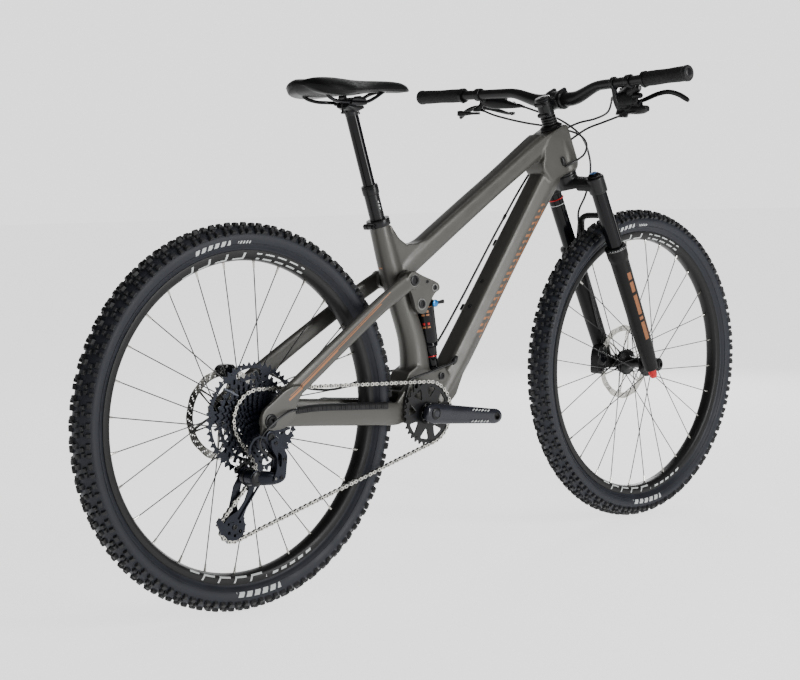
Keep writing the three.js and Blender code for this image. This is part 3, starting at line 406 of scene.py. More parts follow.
# ---------------------------------------------------------------- materials
class Graph:
    """Short names for the shader nodes that the finishes share."""

    def __init__(self, name):
        self.material = bpy.data.materials.new(name)
        self.material.use_nodes = True
        self.tree = self.material.node_tree
        self.shader = self.tree.nodes["Principled BSDF"]
        rest = self.tree.nodes.new("ShaderNodeAttribute")
        rest.attribute_name = REST_PLACE
        self.place = rest.outputs["Vector"]

    def link(self, source, node, socket):
        self.tree.links.new(source, node.inputs[socket])

    def noise(self, scale, detail):
        node = self.tree.nodes.new("ShaderNodeTexNoise")
        node.inputs["Scale"].default_value = scale
        node.inputs["Detail"].default_value = detail
        self.link(self.place, node, "Vector")
        return node.outputs["Fac"]

    def math(self, operation, a, b=0.0, c=0.0):
        node = self.tree.nodes.new("ShaderNodeMath")
        node.operation = operation
        for socket, value in enumerate((a, b, c)):
            if isinstance(value, (int, float)):
                node.inputs[socket].default_value = value
            else:
                self.link(value, node, socket)
        return node.outputs[0]

    def reach(self, direction):
        """Distance along a direction, in millimetres."""
        node = self.tree.nodes.new("ShaderNodeVectorMath")
        node.operation = "DOT_PRODUCT"
        node.inputs[1].default_value = Vector(direction) / MM
        self.link(self.place, node, 0)
        return node.outputs["Value"]

    def within(self, value, low, high):
        return self.math("COMPARE", value, (low + high) / 2, (high - low) / 2)

    def striped(self, value, period, low, high):
        """Bars that repeat along a value, each from one share of the period to another."""
        return self.within(self.math("FRACT", self.math("DIVIDE", value, period)), low, high)

    def all_of(self, masks):
        result = masks[0]
        for mask in masks[1:]:
            result = self.math("MULTIPLY", result, mask)
        return result

    def mix(self, mask, a, b):
        node = self.tree.nodes.new("ShaderNodeMix")
        node.data_type = "RGBA"
        self.link(mask, node, 0)
        for socket, value in ((6, a), (7, b)):
            if isinstance(value, tuple):
                node.inputs[socket].default_value = (*value, 1)
            else:
                self.link(value, node, socket)
        return node.outputs[2]

    def spread(self, value, low, high, source=(0.3, 0.7)):
        node = self.tree.nodes.new("ShaderNodeMapRange")
        self.link(value, node, "Value")
        node.inputs["From Min"].default_value = source[0]
        node.inputs["From Max"].default_value = source[1]
        node.inputs["To Min"].default_value = low
        node.inputs["To Max"].default_value = high
        return node.outputs["Result"]


def surface(name, colour, roughness, metallic, grain, relief, mottle, sheen, marks=None):
    """Colour and roughness that wander a little, a fine grain, and printed marks on top."""
    graph = Graph(name)
    broad = graph.noise(22, 4)
    fine = graph.noise(grain, 2)
    dark = tuple(channel * (1 - mottle) for channel in colour)
    light = tuple(min(1.0, channel * (1 + mottle)) for channel in colour)
    shade = graph.math("ADD", graph.math("MULTIPLY", broad, 0.6), graph.math("MULTIPLY", fine, 0.4))
    base = graph.mix(graph.spread(shade, 0, 1, (0.35, 0.65)), dark, light)
    for mask, tint in (marks(graph) if marks else ()):
        base = graph.mix(mask, base, tint)
    graph.link(base, graph.shader, "Base Color")
    bump = graph.tree.nodes.new("ShaderNodeBump")
    bump.inputs["Strength"].default_value = relief
    bump.inputs["Distance"].default_value = 0.0002
    graph.link(fine, bump, "Height")
    graph.link(bump.outputs["Normal"], graph.shader, "Normal")
    graph.link(graph.spread(broad, roughness * 0.85, min(1, roughness * 1.15)), graph.shader, "Roughness")
    graph.shader.inputs["Metallic"].default_value = metallic
    graph.shader.inputs["Specular IOR Level"].default_value = sheen
    return graph.material


ORANGE = (0.25, 0.098, 0.034)
DOWN_TUBE_WAY = Vector((0.620, 0, 0.785))
DOWN_TUBE_UP = Vector((-0.785, 0, 0.620))


def frame_marks(graph):
    """Slanted orange strokes low on the down tube, and a thin line under the top tube."""
    along = graph.reach(DOWN_TUBE_WAY)
    level = graph.math("SUBTRACT", graph.reach(DOWN_TUBE_UP), 271.5)
    right = graph.math("LESS_THAN", graph.reach(SIDE), -8.0)
    slant = graph.math("MULTIPLY_ADD", level, 0.8, along)
    zone = graph.all_of([graph.within(along, 390, 745), right])
    stroke = graph.striped(slant, 17.0, 0.0, 0.42)
    group = graph.striped(slant, 34.0, 0.0, 0.86)
    inside = graph.all_of([graph.striped(slant, 51.0, 0.2, 0.75), graph.within(level, 9.0, 14.5)])
    outside = graph.math("SUBTRACT", 1.0, inside)
    bars = graph.all_of([zone, stroke, group, graph.within(level, 2.0, 20.0), outside])
    feet = graph.all_of([zone, group, graph.within(level, 2.0, 6.0)])
    top_way = Vector((0.857, 0, 0.515))
    top_level = graph.reach(Vector((-0.515, 0, 0.857)))
    top_part = graph.within(graph.reach(top_way), 395, 545)
    line = graph.all_of([graph.within(top_level, 604.5, 607.0), top_part, right])
    return [(bars, ORANGE), (feet, ORANGE), (line, ORANGE)]


def stay_marks(graph):
    """A thin orange stripe with a hair line beside it on the outer face of each seatstay."""
    along = graph.reach(Vector((0.846, 0, 0.533)))
    level = graph.reach(Vector((-0.533, 0, 0.846)))
    across = graph.math("ABSOLUTE", graph.reach(SIDE))
    middle = graph.math("MULTIPLY_ADD", graph.reach(FORWARD), -0.08, 37.5)
    outer = graph.math("GREATER_THAN", across, middle)
    wide = graph.all_of([graph.within(level, 632.6, 636.8), graph.within(along, -246, -90), outer])
    thin = graph.all_of([graph.within(level, 638.8, 640.0), graph.within(along, -240, 95), outer])
    upper = graph.all_of([graph.within(level, 634.8, 636.8), graph.within(along, -90, 60), outer])
    return [(wide, ORANGE), (thin, ORANGE), (upper, ORANGE)]


def leg_marks(graph):
    """Copper bars down the outer face of the fork leg."""
    up = graph.math("SUBTRACT", graph.reach(STEER_UP), STEER_FOOT.dot(STEER_UP))
    ahead = graph.math("SUBTRACT", graph.reach(STEER_AHEAD), STEER_FOOT.dot(STEER_AHEAD) + LEG_AHEAD)
    out = graph.math("GREATER_THAN", graph.math("ABSOLUTE", graph.reach(SIDE)), LEG_SIDE)
    column = graph.within(ahead, -9.0, 1.0)
    bars = [graph.all_of([graph.within(up, low, high), column, out])
            for low, high in ((88, 134), (140, 148), (154, 204), (212, 238), (244, 262))]
    faint = graph.all_of([graph.within(up, 96, 136), graph.within(ahead, 6, 10), out])
    return [(mask, (0.21, 0.085, 0.038)) for mask in bars] + [(faint, (0.14, 0.05, 0.02))]


def wheel_marks(centre, low, high, arcs):
    """Pale bars on a ring round an axle: arcs are (start, end, period) in degrees, then the share of
    each period that a bar fills and the shares of the ring's width between which it lies."""
    def build(graph):
        x = graph.math("SUBTRACT", graph.reach(FORWARD), centre.x)
        z = graph.math("SUBTRACT", graph.reach(UP), centre.z)
        square = graph.math("ADD", graph.math("MULTIPLY", x, x), graph.math("MULTIPLY", z, z))
        radius = graph.math("SQRT", square)
        angle = graph.math("MULTIPLY", graph.math("ARCTAN2", z, x), 180 / math.pi)
        slanted = graph.math("MULTIPLY_ADD", graph.math("SUBTRACT", radius, low), 0.08, angle)
        turned = graph.math("ADD", slanted, 720)
        width = high - low
        masks = []
        for start, end, period, duty, level_low, level_high in arcs:
            band = graph.within(radius, low + width * level_low, low + width * level_high)
            bars = graph.striped(turned, period, 0.0, duty)
            masks.append(graph.all_of([band, graph.within(angle, start, end), bars]))
        return [(mask, PALE) for mask in masks]
    return build


PALE = (0.42, 0.43, 0.43)
RIM_ARCS = (
    (62, 84, 5.5, 0.7, 0.2, 0.32), (62, 84, 5.5, 0.7, 0.62, 0.74), (88, 118, 7.5, 0.12, 0.2, 0.74),
    (88, 118, 7.5, 0.66, 0.2, 0.32), (-118, -84, 7.0, 0.7, 0.25, 0.4), (-118, -84, 7.0, 0.1, 0.25, 0.8),
    (-82, -62, 4.0, 0.6, 0.55, 0.75),
)
TYRE_ARCS = (
    (96, 110, 2.6, 0.6, 0.28, 0.62), (88, 93, 1.2, 0.5, 0.3, 0.5), (-98, -80, 3.2, 0.66, 0.3, 0.68),
)


def make_looks():
    """Every finish by its key: its material, and the record's material slot that it belongs to."""
    graphite = (0.044, 0.0425, 0.0375)
    black = (0.0055, 0.0055, 0.0065)
    rows = [
        # key, material, slot, colour, roughness, metallic, grain, relief, mottle, sheen, marks
        ("carbon", "matt_graphite", "carbon", graphite, 0.40, 0.35, 3500, 0.04, 0.05, 0.6, frame_marks),
        ("stay", "matt_graphite_stay", "carbon", graphite, 0.40, 0.35, 3500, 0.04, 0.05, 0.6, stay_marks),
        ("tread", "tread_rubber", "rubber", (0.0115, 0.0115, 0.013), 0.6, 0, 900, 0.5, 0.3, 0.3),
        ("rubber", "moulded_rubber", "rubber", black, 0.6, 0, 1600, 0.4, 0.2, 0.25),
        ("black", "black_anodised", "black_metal", black, 0.3, 0.2, 2500, 0.08, 0.2, 0.25),
        ("satin", "black_satin", "black_metal", black, 0.36, 0.1, 2500, 0.1, 0.2, 0.25),
        ("gloss", "gloss_black", "gloss_black", (0.003, 0.003, 0.004), 0.1, 0, 2500, 0.02, 0.2, 0.16),
        ("legs", "leg_black", "black_metal", (0.0055, 0.0052, 0.0052), 0.42, 0.05, 2500, 0.08, 0.12, 0.14,
         leg_marks),
        ("steel", "bright_steel", "steel", (0.42, 0.41, 0.38), 0.26, 1.0, 1800, 0.1, 0.12, 0.5),
        ("dull_steel", "ground_steel", "steel", (0.16, 0.16, 0.155), 0.34, 1.0, 1400, 0.2, 0.15, 0.5),
        ("spoke", "spoke_black", "steel", (0.03, 0.03, 0.03), 0.34, 0.8, 1800, 0.05, 0.15, 0.5),
        ("jacket", "hose_jacket", "plastic", black, 0.35, 0, 2500, 0.1, 0.15, 0.35),
        ("plastic", "moulded_plastic", "plastic", (0.005, 0.005, 0.006), 0.36, 0, 1600, 0.2, 0.2, 0.25),
        ("red", "red_anodised", "red", (0.42, 0.006, 0.010), 0.3, 0.45, 2200, 0.05, 0.12, 0.5),
        ("blue", "blue_anodised", "blue", (0.01, 0.14, 0.38), 0.28, 0.6, 2200, 0.05, 0.12, 0.5),
        ("orange", "orange_print", "carbon", ORANGE, 0.42, 0.1, 2200, 0.05, 0.1, 0.5),
        ("pale", "pale_print", "plastic", PALE, 0.45, 0.0, 2200, 0.05, 0.1, 0.5),
        ("navy", "blue_black_coating", "navy_metal", (0.0065, 0.0082, 0.0135), 0.28, 0.5, 1600,
         0.1, 0.3, 0.3),
        ("navy_gloss", "blue_black_gloss", "navy_metal", (0.0095, 0.0105, 0.0155), 0.22, 0.1, 1800,
         0.03, 0.2, 0.35),
        ("cover", "saddle_cover", "rubber", (0.0035, 0.0035, 0.004), 0.5, 0, 1300, 0.3, 0.2, 0.09),
        ("cover_gloss", "saddle_side", "rubber", (0.003, 0.003, 0.0035), 0.34, 0, 900, 0.1, 0.2, 0.1),
    ]
    for end, centre in (("rear", REAR_AXLE), ("front", FRONT_AXLE)):
        rows.append((f"sidewall_{end}", f"{end}_sidewall", "rubber", (0.0105, 0.012, 0.0165), 0.5, 0,
                     700, 0.12, 0.2, 0.22, wheel_marks(centre, 322, 348, TYRE_ARCS)))
        rows.append((f"rim_{end}", f"{end}_rim_black", "black_metal", (0.006, 0.006, 0.006), 0.4, 0.1, 1800,
                     0.06, 0.15, 0.2, wheel_marks(centre, 296, 318, RIM_ARCS)))
    return {key: (surface(name, *finish), slot) for key, name, slot, *finish in rows}


LOOKS = make_looks()


# ---------------------------------------------------------------- wheels
TREAD_ROWS = 124


def tyre(end, centre):
    """Hollow casing with a rub line on each sidewall, and two alternating rows of tread knobs."""
    shape = Shape()
    half = [(309, 11.5), (309.5, 14.4), (316, 14.9), (318.5, 16.4), (320.5, 17.2), (322, 18.6), (326, 22.4),
            (333, 26.4), (341, 27.8), (346, 27.2), (350.5, 25.2), (355, 21.8), (359.5, 16.8), (362.5, 11.0),
            (363.6, 5.0)]
    outer = half + [(r, -y) for r, y in reversed(half)]
    inner = [(322, 13.0), (333, 21), (352, 20), (360, 12)]
    lining = [(r, -y) for r, y in inner] + list(reversed(inner))
    shape.turned(centre, SIDE, outer + lining, 160, loop=True)
    shape.paint(1)
    step = 2 * math.pi / TREAD_ROWS
    # (row offset, across, radius at the knob's foot, lean in degrees, length, width, height)
    knobs = {
        0: [(0.0, 5.4, 363.2, 6, 10.6, 8.4, 7.2), (0.30, 16.8, 358.6, 30, 8.0, 7.0, 7.0),
            (0.05, 24.0, 351.6, 52, 11.6, 8.4, 7.2)],
        1: [(0.0, 8.8, 362.4, 12, 9.2, 6.8, 7.2), (-0.15, 17.8, 357.8, 34, 8.8, 5.6, 7.0),
            (0.0, 24.4, 351.0, 55, 8.4, 9.2, 7.2)],
    }
    for row in range(TREAD_ROWS):
        for offset, across, foot, lean, length, width, height in knobs[row % 2]:
            for side in (1, -1):
                angle = (row + offset + (0.5 if side < 0 else 0)) * step
                radial = outward(angle)
                around_way = Vector((-math.sin(angle), 0, math.cos(angle)))
                tilt = math.radians(lean)
                out = radial * math.cos(tilt) + SIDE * (side * math.sin(tilt))
                sideways = out.cross(around_way)
                base = centre + radial * (foot - 0.8) + SIDE * (side * across)
                shape.block(base, around_way, sideways, out, (length, width, height), 0.82)
    # a thin rub line round each sidewall
    shape.paint(0)
    for side in (1, -1):
        line = [around(centre, 328.5, 2 * math.pi * k / 160, side * 24.4) for k in range(160)]
        shape.sweep(round_section(6), [(*point, 0.6, 0.6) for point in line], SIDE, loop=True)
    piece(f"{end}_tyre_tread", shape, [f"sidewall_{end}", "tread"], f"{end}_wheel", (f"{end}_tyre",))


def rim(end, centre):
    """Hoop with a hooked bed for the tyre."""
    shape = Shape()
    half = [(297.0, 0), (297.3, 5.0), (298.6, 9.0), (301.2, 13.2), (304.5, 15.9), (309, 16.8), (315, 17.3),
            (317, 17.1), (317.4, 16.4), (316.4, 15.7), (312, 15.6), (306.5, 15.3), (304.5, 12), (304.2, 0)]
    profile = half + [(r, -y) for r, y in reversed(half[1:-1])]
    shape.turned(centre, SIDE, profile, 160, loop=True)
    piece(f"{end}_rim_hoop", shape, f"rim_{end}", f"{end}_wheel", (f"{end}_rim",), crease=50)


def spokes(centre, flanges):
    """Crossed spokes from both flanges to the rim, each with its elbow and its nipple."""
    shape = Shape()
    crossing = math.radians(70)
    for k in range(SPOKES):
        flange = flanges[k % 2]
        lead = 1 if (k // 2) % 2 == 0 else -1
        rim_angle = 2 * math.pi * (k + 0.5) / SPOKES
        hub_angle = rim_angle + lead * crossing
        foot = around(centre, FLANGE_RADIUS - 3, hub_angle, flange + lead * 2.6)
        head = around(centre, RIM_INNER + 1.0, rim_angle, math.copysign(2.5, flange) + lead * 0.8)
        way = (head - foot).normalized()
        shape.paint(0)
        shape.rod(foot, head - way * 14, 1.15, segments=8, edge=0.2)
        shape.rod(foot - SIDE * (lead * 4.4), foot + SIDE * (lead * 1.0), 1.6, segments=8, edge=0.3)
        shape.paint(1)
        shape.turned(head - way * 15, way, [(1.2, 0), (2.0, 1.5), (2.1, 9.0), (2.7, 10.5), (2.7, 15.0)], 8)
    return shape


def wheel_hub(end, centre, profile, flanges, rotor_y):
    """Turned shell with a boss at each spoke, and the splines under the brake disc."""
    shape = spokes(centre, flanges)
    shape.paint(2)
    shape.turned(centre, SIDE, profile, 64, loop=True)
    for k in range(SPOKES // 2):
        for flange in flanges:
            angle = 2 * math.pi * k / (SPOKES // 2)
            spot = around(centre, FLANGE_RADIUS + 0.4, angle, flange)
            shape.rod(spot - SIDE * 3.6, spot + SIDE * 3.6, 2.6, segments=10)
    shape.notches(centre, 19.6, rotor_y, 24, (2.6, 6.0, 2.0))
    piece(f"{end}_hub_and_spokes", shape, ["spoke", "steel", "black"], f"{end}_wheel", (f"{end}_hub",))


def rotor(end, centre, y):
    """Brake disc: a drilled, waved ring on six swept arms."""
    shape = Shape()
    count = 180
    rim_line = []
    for k in range(count):
        angle = 2 * math.pi * k / count
        radius = ROTOR_RADIUS - 0.9 + 0.9 * math.cos(12 * angle)
        rim_line.append((centre.x + radius * math.cos(angle), centre.z + radius * math.sin(angle)))
    loops = [rim_line, circle(centre, 75, 96)]
    for k in range(36):
        angle = 2 * math.pi * k / 36
        for radius, size, shift in ((86.0, 1.5, 0.0), (82.6, 1.9, 0.04), (79.0, 1.5, 0.08)):
            spot = around(centre, radius, angle + shift)
            loops.append(circle(spot, size, 8))
    shape.plate(loops, y - 0.9, y + 0.9)
    for k in range(12):
        start = 2 * math.pi * k / 12
        swing = 0.42 if k % 2 == 0 else -0.30
        points = []
        for i in range(9):
            t = i / 8
            radius = 26 + 51 * t
            angle = start + swing * t * (1 - 0.35 * t)
            points.append((*around(centre, radius, angle, y), 0.85, 2.6 - 1.0 * math.sin(math.pi * t)))
        shape.sweep(round_section(8, 5), points)
    shape.paint(1)
    shape.plate([circle(centre, 28, 48), circle(centre, 18.2, 48)], y - 1.1, y + 1.1)
    shape.turned(at(centre, y + 1.0), SIDE, [(17.8, 0), (22.5, 0), (22.5, 1.6), (21, 2.6), (17.8, 2.6)], 40,
                 loop=True)
    piece(f"{end}_brake_disc", shape, ["steel", "black"], f"{end}_wheel", (f"{end}_rotor",))


def wheels():
    """Both wheels: hub profiles are (radius, y) from right to left."""
    front_profile = [
        (8.2, -54.5), (10.5, -54.5), (10.5, -47), (12.5, -45), (12.5, -38), (17, -36.5), (27.5, -35.4),
        (30.6, -34.6), (31, -32.7), (30.6, -31), (27, -30), (18, -28), (13, -18), (12.5, -4), (13, 12),
        (18, 22), (28, 26.2), (31.4, 27.4), (31.6, 29), (31, 30.8), (28, 31.8), (19, 33), (17.6, 37.8),
        (17.6, 42), (10.5, 43), (10.5, 54.5), (8.2, 54.5)]
    rear_profile = [
        (6.6, -73.5), (8.9, -73.5), (8.9, -29), (20, -27.8), (29, -26.2), (31.4, -24.8), (31.6, -23.2),
        (31, -21.4), (28, -20.4), (20, -18), (15, -8), (14.5, 8), (16, 24), (22, 31), (30, 33.2),
        (31.6, 34.6), (31.8, 36), (31.2, 37.8), (29, 38.8), (21, 40), (17.6, 56.8), (17.6, 61), (10, 62),
        (10, 73.5), (6.6, 73.5)]
    for end, centre, profile, flanges, rotor_y in (
            ("front", FRONT_AXLE, front_profile, (-32.7, 29), FRONT_ROTOR_Y),
            ("rear", REAR_AXLE, rear_profile, (-23.2, 36), REAR_ROTOR_Y)):
        tyre(end, centre)
        rim(end, centre)
        wheel_hub(end, centre, profile, flanges, rotor_y)
        rotor(end, centre, rotor_y)


# ---------------------------------------------------------------- moulded bodies
def worked(shape):
    """Scratch object of a Shape, for modifiers to work on."""
    thing = bpy.data.objects.new("work", mesh_of(shape))
    SCENE.collection.objects.link(thing)
    return thing


def carved(thing, cutters, self_crossing=False):
    """Shape that is left of an object when the cutters are taken out of it; the object goes."""
    tools = [worked(cutter) for cutter in cutters]
    for tool in tools:
        cut = thing.modifiers.new("cut", "BOOLEAN")
        cut.operation = "DIFFERENCE"
        cut.solver = "EXACT"
        cut.use_self = self_crossing
        cut.object = tool
    made = thing.evaluated_get(bpy.context.evaluated_depsgraph_get()).to_mesh()
    out = Shape()
    out.add([vert.co / MM for vert in made.vertices], [tuple(face.vertices) for face in made.polygons])
    for extra in [thing, *tools]:
        bpy.data.objects.remove(extra, do_unlink=True)
    return out


def moulded(shape, voxel, rounds, cutters=()):
    """Overlapping solids melted into one skin with filleted joins, then cut; returned as a Shape."""
    thing = worked(shape)
    fuse = thing.modifiers.new("fuse", "REMESH")
    fuse.mode = "VOXEL"
    fuse.voxel_size = voxel * MM
    fuse.adaptivity = 0
    melt = thing.modifiers.new("melt", "SMOOTH")
    melt.factor = 0.6
    melt.iterations = rounds
    return carved(thing, cutters)


TOP_TUBE_SECTION = soft_corners([(1, -0.4), (1, 0.55), (0.66, 1), (-0.66, 1), (-1, 0.55), (-1, -0.4),
                             (-0.6, -1), (0.6, -1)], 0.3, 2)
DOWN_TUBE_SECTION = soft_corners([(1, -0.2), (0.74, 1), (-0.74, 1), (-1, -0.2), (-0.62, -1),
                                  (0.62, -1)], 0.2, 3)
BLADE = soft_corners([(1, -0.55), (1, 0.55), (0.45, 1), (-0.45, 1), (-1, 0.55), (-1, -0.55), (-0.45, -1),
                      (0.45, -1)], 0.3, 2)
ROUND = round_section(24)


# ---------------------------------------------------------------- frame
def front_triangle():
    """Head, top, down and seat tube, yoke and webs melted into one skin, then the fittings on it."""
    body = Shape()
    body.rod(on_steer(HEAD_BOTTOM), on_steer(HEAD_TOP), 33, 28, 48, 1)
    body.plate([[(347, 834), (354, 852), (318, 936), (294, 938), (262, 912), (240, 880), (236, 838),
                 (258, 812), (300, 822)]], -29, 29)
    body.sweep(TOP_TUBE_SECTION, [
        (-182, 0, 626, 20, 22), (-140, 0, 655, 22, 24), (-20, 0, 730, 23, 23.5), (120, 0, 815, 23, 23),
        (236, 0, 885, 26.5, 25), (306, 0, 925, 29.5, 24)], SIDE, 8)
    body.sweep(DOWN_TUBE_SECTION, [
        (-98, 0, 347, 32, 23), (-30, 0, 428, 31.5, 27.5), (40, 0, 519, 30.5, 28), (150, 0, 664, 29.5, 28),
        (262, 0, 806, 28.5, 31), (311, 0, 864, 29.5, 35)], SIDE, 8)
    body.sweep(ROUND, [
        (-146, 0, 392, 28, 38), (-143, 0, 430, 27.5, 34), (-152, 0, 490, 25.5, 30),
        (-178, 0, 560, 23.5, 27), (-205, 0, 632, 22.5, 25.5), (-228, 0, 706, 21, 22),
        (-237.2, 0, 737, 20.4, 20.4)], SIDE, 8)
    body.plate([[(-216, 726), (-212, 690), (-196, 640), (-150, 652), (-84, 690), (-96, 702), (-140, 686),
                 (-172, 684), (-194, 698)]], -18, 18)
    body.plate([[(300, 905), (252, 874), (233, 853), (236, 832), (254, 816), (300, 842)]], -27.5, 27.5)
    body.pin(BB, -36.5, 36.5, 23, 48)
    body.plate([[(-60, 384), (-52, 396), (-24, 442), (-12, 428), (-46, 362), (-96, 318), (-150, 314),
                 (-180, 326), (-188, 372), (-195, 392), (-193, 406), (-184, 420), (-160, 432), (-130, 422),
                 (-110, 418), (-92, 421), (-78, 424)]], -27.5, 27.5)
    body.pin(ROCKER_PIVOT, -26.5, 26.5, 16, 40)
    pocket = Shape().plate([[(-116, 386), (-70, 386), (-58, 474), (-107, 474)]], -14.5, 14.5)
    shock_way = Shape().rod(on_shock(-20), on_shock(178), 22.8, segments=48)
    bores = Shape()
    bores.rod(on_steer(HEAD_BOTTOM - 6), on_steer(HEAD_TOP + 6), 21.2, segments=40)
    bores.rod(on_seat(-170), on_seat(24), 16.1, segments=40)
    pins = Shape()
    for place, radius in ((BB, 17), (MAIN_PIVOT, 7.7), (ROCKER_PIVOT, 6.7), (SHOCK_FOOT, 5.6)):
        pins.pin(place, -70, 70, radius, 40)
    ends = Shape()
    ends.rod(on_steer(HEAD_TOP), on_steer(HEAD_TOP + 50), 60, segments=40)
    ends.rod(on_steer(HEAD_BOTTOM), on_steer(HEAD_BOTTOM - 60), 50, segments=40)
    skin = moulded(body, 2.2, 9, [pocket, shock_way, bores, pins, ends])
    piece("frame_front_triangle", skin, "carbon", "main_frame", ("front_triangle",), crease=MOULDED_CREASE)

    fittings = Shape()
    for place in (Vector((63.8, 0, 594.6)), Vector((24.4, 0, 542.8))):
        fittings.bolt(place - DOWN_TUBE_UP * 1.5, DOWN_TUBE_UP, 5.4, 4.2)
    # guides that take the hoses into the sides of the head tube
    for side in (-1, 1):
        port = on_steer(560, -26, side * 29.5)
        fittings.sweep(BLADE, [
            (*(port - STEER_UP * 10), 4.2, 2.4), (*(port + SIDE * side * 1.0), 5.4, 4.2),
            (*(port + STEER_UP * 10), 4.2, 2.4)], STEER_AHEAD, 5)
    for along in (0.26, 0.62):
        spot = Vector((-30, 26.5, 428)).lerp(Vector((262, 26.5, 806)), along) + DOWN_TUBE_UP * 22
        fittings.sweep(BLADE, [(*(spot - DOWN_TUBE_WAY * 7), 5.0, 3.4),
                               (*(spot + DOWN_TUBE_WAY * 7), 5.0, 3.4)])
    port = Vector((-55.5, -30.5, 434.7))
    fittings.sweep(ROUND, [(*(port - DOWN_TUBE_WAY * 9), 5, 4), (*port, 6.5, 6.5),
                           (*(port + DOWN_TUBE_WAY * 11), 4, 3)],
                   SIDE, 4)
    fittings.paint(1)
    fittings.pin(Vector((-229, 0, 638)), -5, 5, 4.0, 24)
    piece("frame_fittings", fittings, ["plastic", "orange"], "main_frame", bevel=0.5)

    hardware = Shape()
    for place, half, radius, head in (
            (MAIN_PIVOT, 43.5, 11, 2.5), (ROCKER_PIVOT, 39.5, 9, 2), (SHOCK_FOOT, 28.5, 7.5, 2)):
        hardware.paint(0).pin(place, -half - 0.4, half + 0.4, radius * 0.62, 24)
        for side in (-1, 1):
            washer = at(place, side * (half - 0.2))
            hardware.paint(0).bolt(at(place, side * half), SIDE * side, radius, head + 0.6)
            hardware.paint(1).ring(washer, SIDE * side, radius * 0.9, radius * 1.1, 0.9)
    piece("frame_pivot_hardware", hardware, ["black", "dull_steel"], "main_frame",
          ("main_pivot_axle", "rocker_pivot_axle", "lower_shock_bolt"))

    bearing = Shape()
    for side in (-1, 1):
        bearing.ring(at(BB, side * 36.8), SIDE * side, 15.2, 22.4, 5.2, 40)
        bearing.notches(BB, 21.6, side * 39.4, 12, (3.6, 4.2, 1.4))
    bearing.pin(BB, -36, 36, 16.4, 32)
    piece("bottom_bracket_cups", bearing, "black", "main_frame", ("bottom_bracket",))


def seatpost_and_saddle():
    """Dropper post in two telescoping parts, the clamp head, the rails and the saddle."""
    outer = Shape()
    outer.turned(on_seat(-30), SEAT_UP, [(13.3, 0), (15.8, 0), (15.8, 87), (13.3, 87)], 40, loop=True)
    outer.turned(on_seat(56), SEAT_UP, [
        (13.3, 0), (15.8, 0), (17.2, 1), (17.6, 4), (17.6, 15), (17.1, 16), (17.6, 17), (17.0, 19.5),
        (13.3, 20.4)], 40, loop=True)
    outer.paint(1)
    outer.ring(on_seat(71.2), SEAT_UP, 17.3, 17.9, 1.4, 40)
    outer.paint(2)
    for k in range(3):
        spot = on_seat(26 + 7 * k) - SIDE * 15.6
        outer.block(spot, SEAT_UP, FORWARD, -SIDE, (4.4, 2.6, 0.45))
    outer.paint(0)
    outer.turned(on_seat(-11), SEAT_UP, [(21.4, 0), (24, 0.4), (24.8, 2), (24.8, 12.6), (24, 14.6),
                                         (16.2, 15.2)], 48)
    ears = on_seat(-4) + Vector((-26, 0, -8))
    for start, end in ((-12, -1.4), (1.4, 12)):
        outer.sweep(BLADE, [(*(ears + SIDE * y), 5.5, 6) for y in (start, end)], STEER_AHEAD)
    outer.bolt(ears + SIDE * -12, -SIDE, 4.0, 4.0)
    outer.rod(ears + SIDE * -12, ears + SIDE * 12, 2.6, segments=16)
    piece("dropper_post_outer", outer, ["black", "gloss", "pale"], "main_frame",
          ("dropper_outer", "seat_clamp"), bevel=0.5)

    inner = Shape()
    inner.rod(on_seat(8), on_seat(226), 13, segments=48)
    piece("dropper_post_stanchion", inner, "gloss", "seat", ("dropper_stanchion",))

    head = Shape()
    head.rod(on_seat(220), on_seat(234), 13.3, 14.2, segments=40)
    head.sweep(BLADE, [(-324, 0, 963, 18, 4.0), (-303, 0, 958.5, 19, 9.5), (-282, 0, 961, 18, 4.5)],
               SIDE, 4)
    for side in (-1, 1):
        y = side * 22
        head.sweep(BLADE, [(-323, y, 968, 6.4, 3.4), (-303, y, 967, 6.8, 5), (-283, y, 968, 6.4, 3.4)],
                   SIDE, 4)
        head.sweep(BLADE, [(-321, y, 974.6, 6.6, 3), (-303, y, 975.6, 7, 4.6), (-285, y, 974.6, 6.6, 3)],
                   SIDE, 4)
    head.sweep(BLADE, [(-303, -24, 976.5, 12, 3.4), (-303, 24, 976.5, 12, 3.4)], FORWARD)
    for x in (-323, -283):
        foot = Vector((x, 0, 950))
        head.rod(foot, foot + UP * 28, 2.6, segments=16)
        head.bolt(foot + UP * 2, -UP, 4.2, 4.5)
        head.pin(Vector((x, 0, 979.6)), -9, 9, 4.4, 20)
    piece("saddle_clamp_head", head, "black", "seat", bevel=0.7)

    rails = Shape()
    left_rail = [
        (-398, 37, 987), (-386, 34.5, 977), (-366, 29, 971.4), (-345, 23, 970.2), (-303, 22, 970.2),
        (-278, 22, 971.5), (-256, 20.5, 979.5), (-236, 17, 989), (-220, 9, 994), (-214, 3, 995.5)]
    rails.hose(left_rail + mirror(left_rail[::-1]), 3.5, 8, 16)
    piece("saddle_rail_loop", rails, "gloss", "seat", ("saddle_rails",))
    saddle()


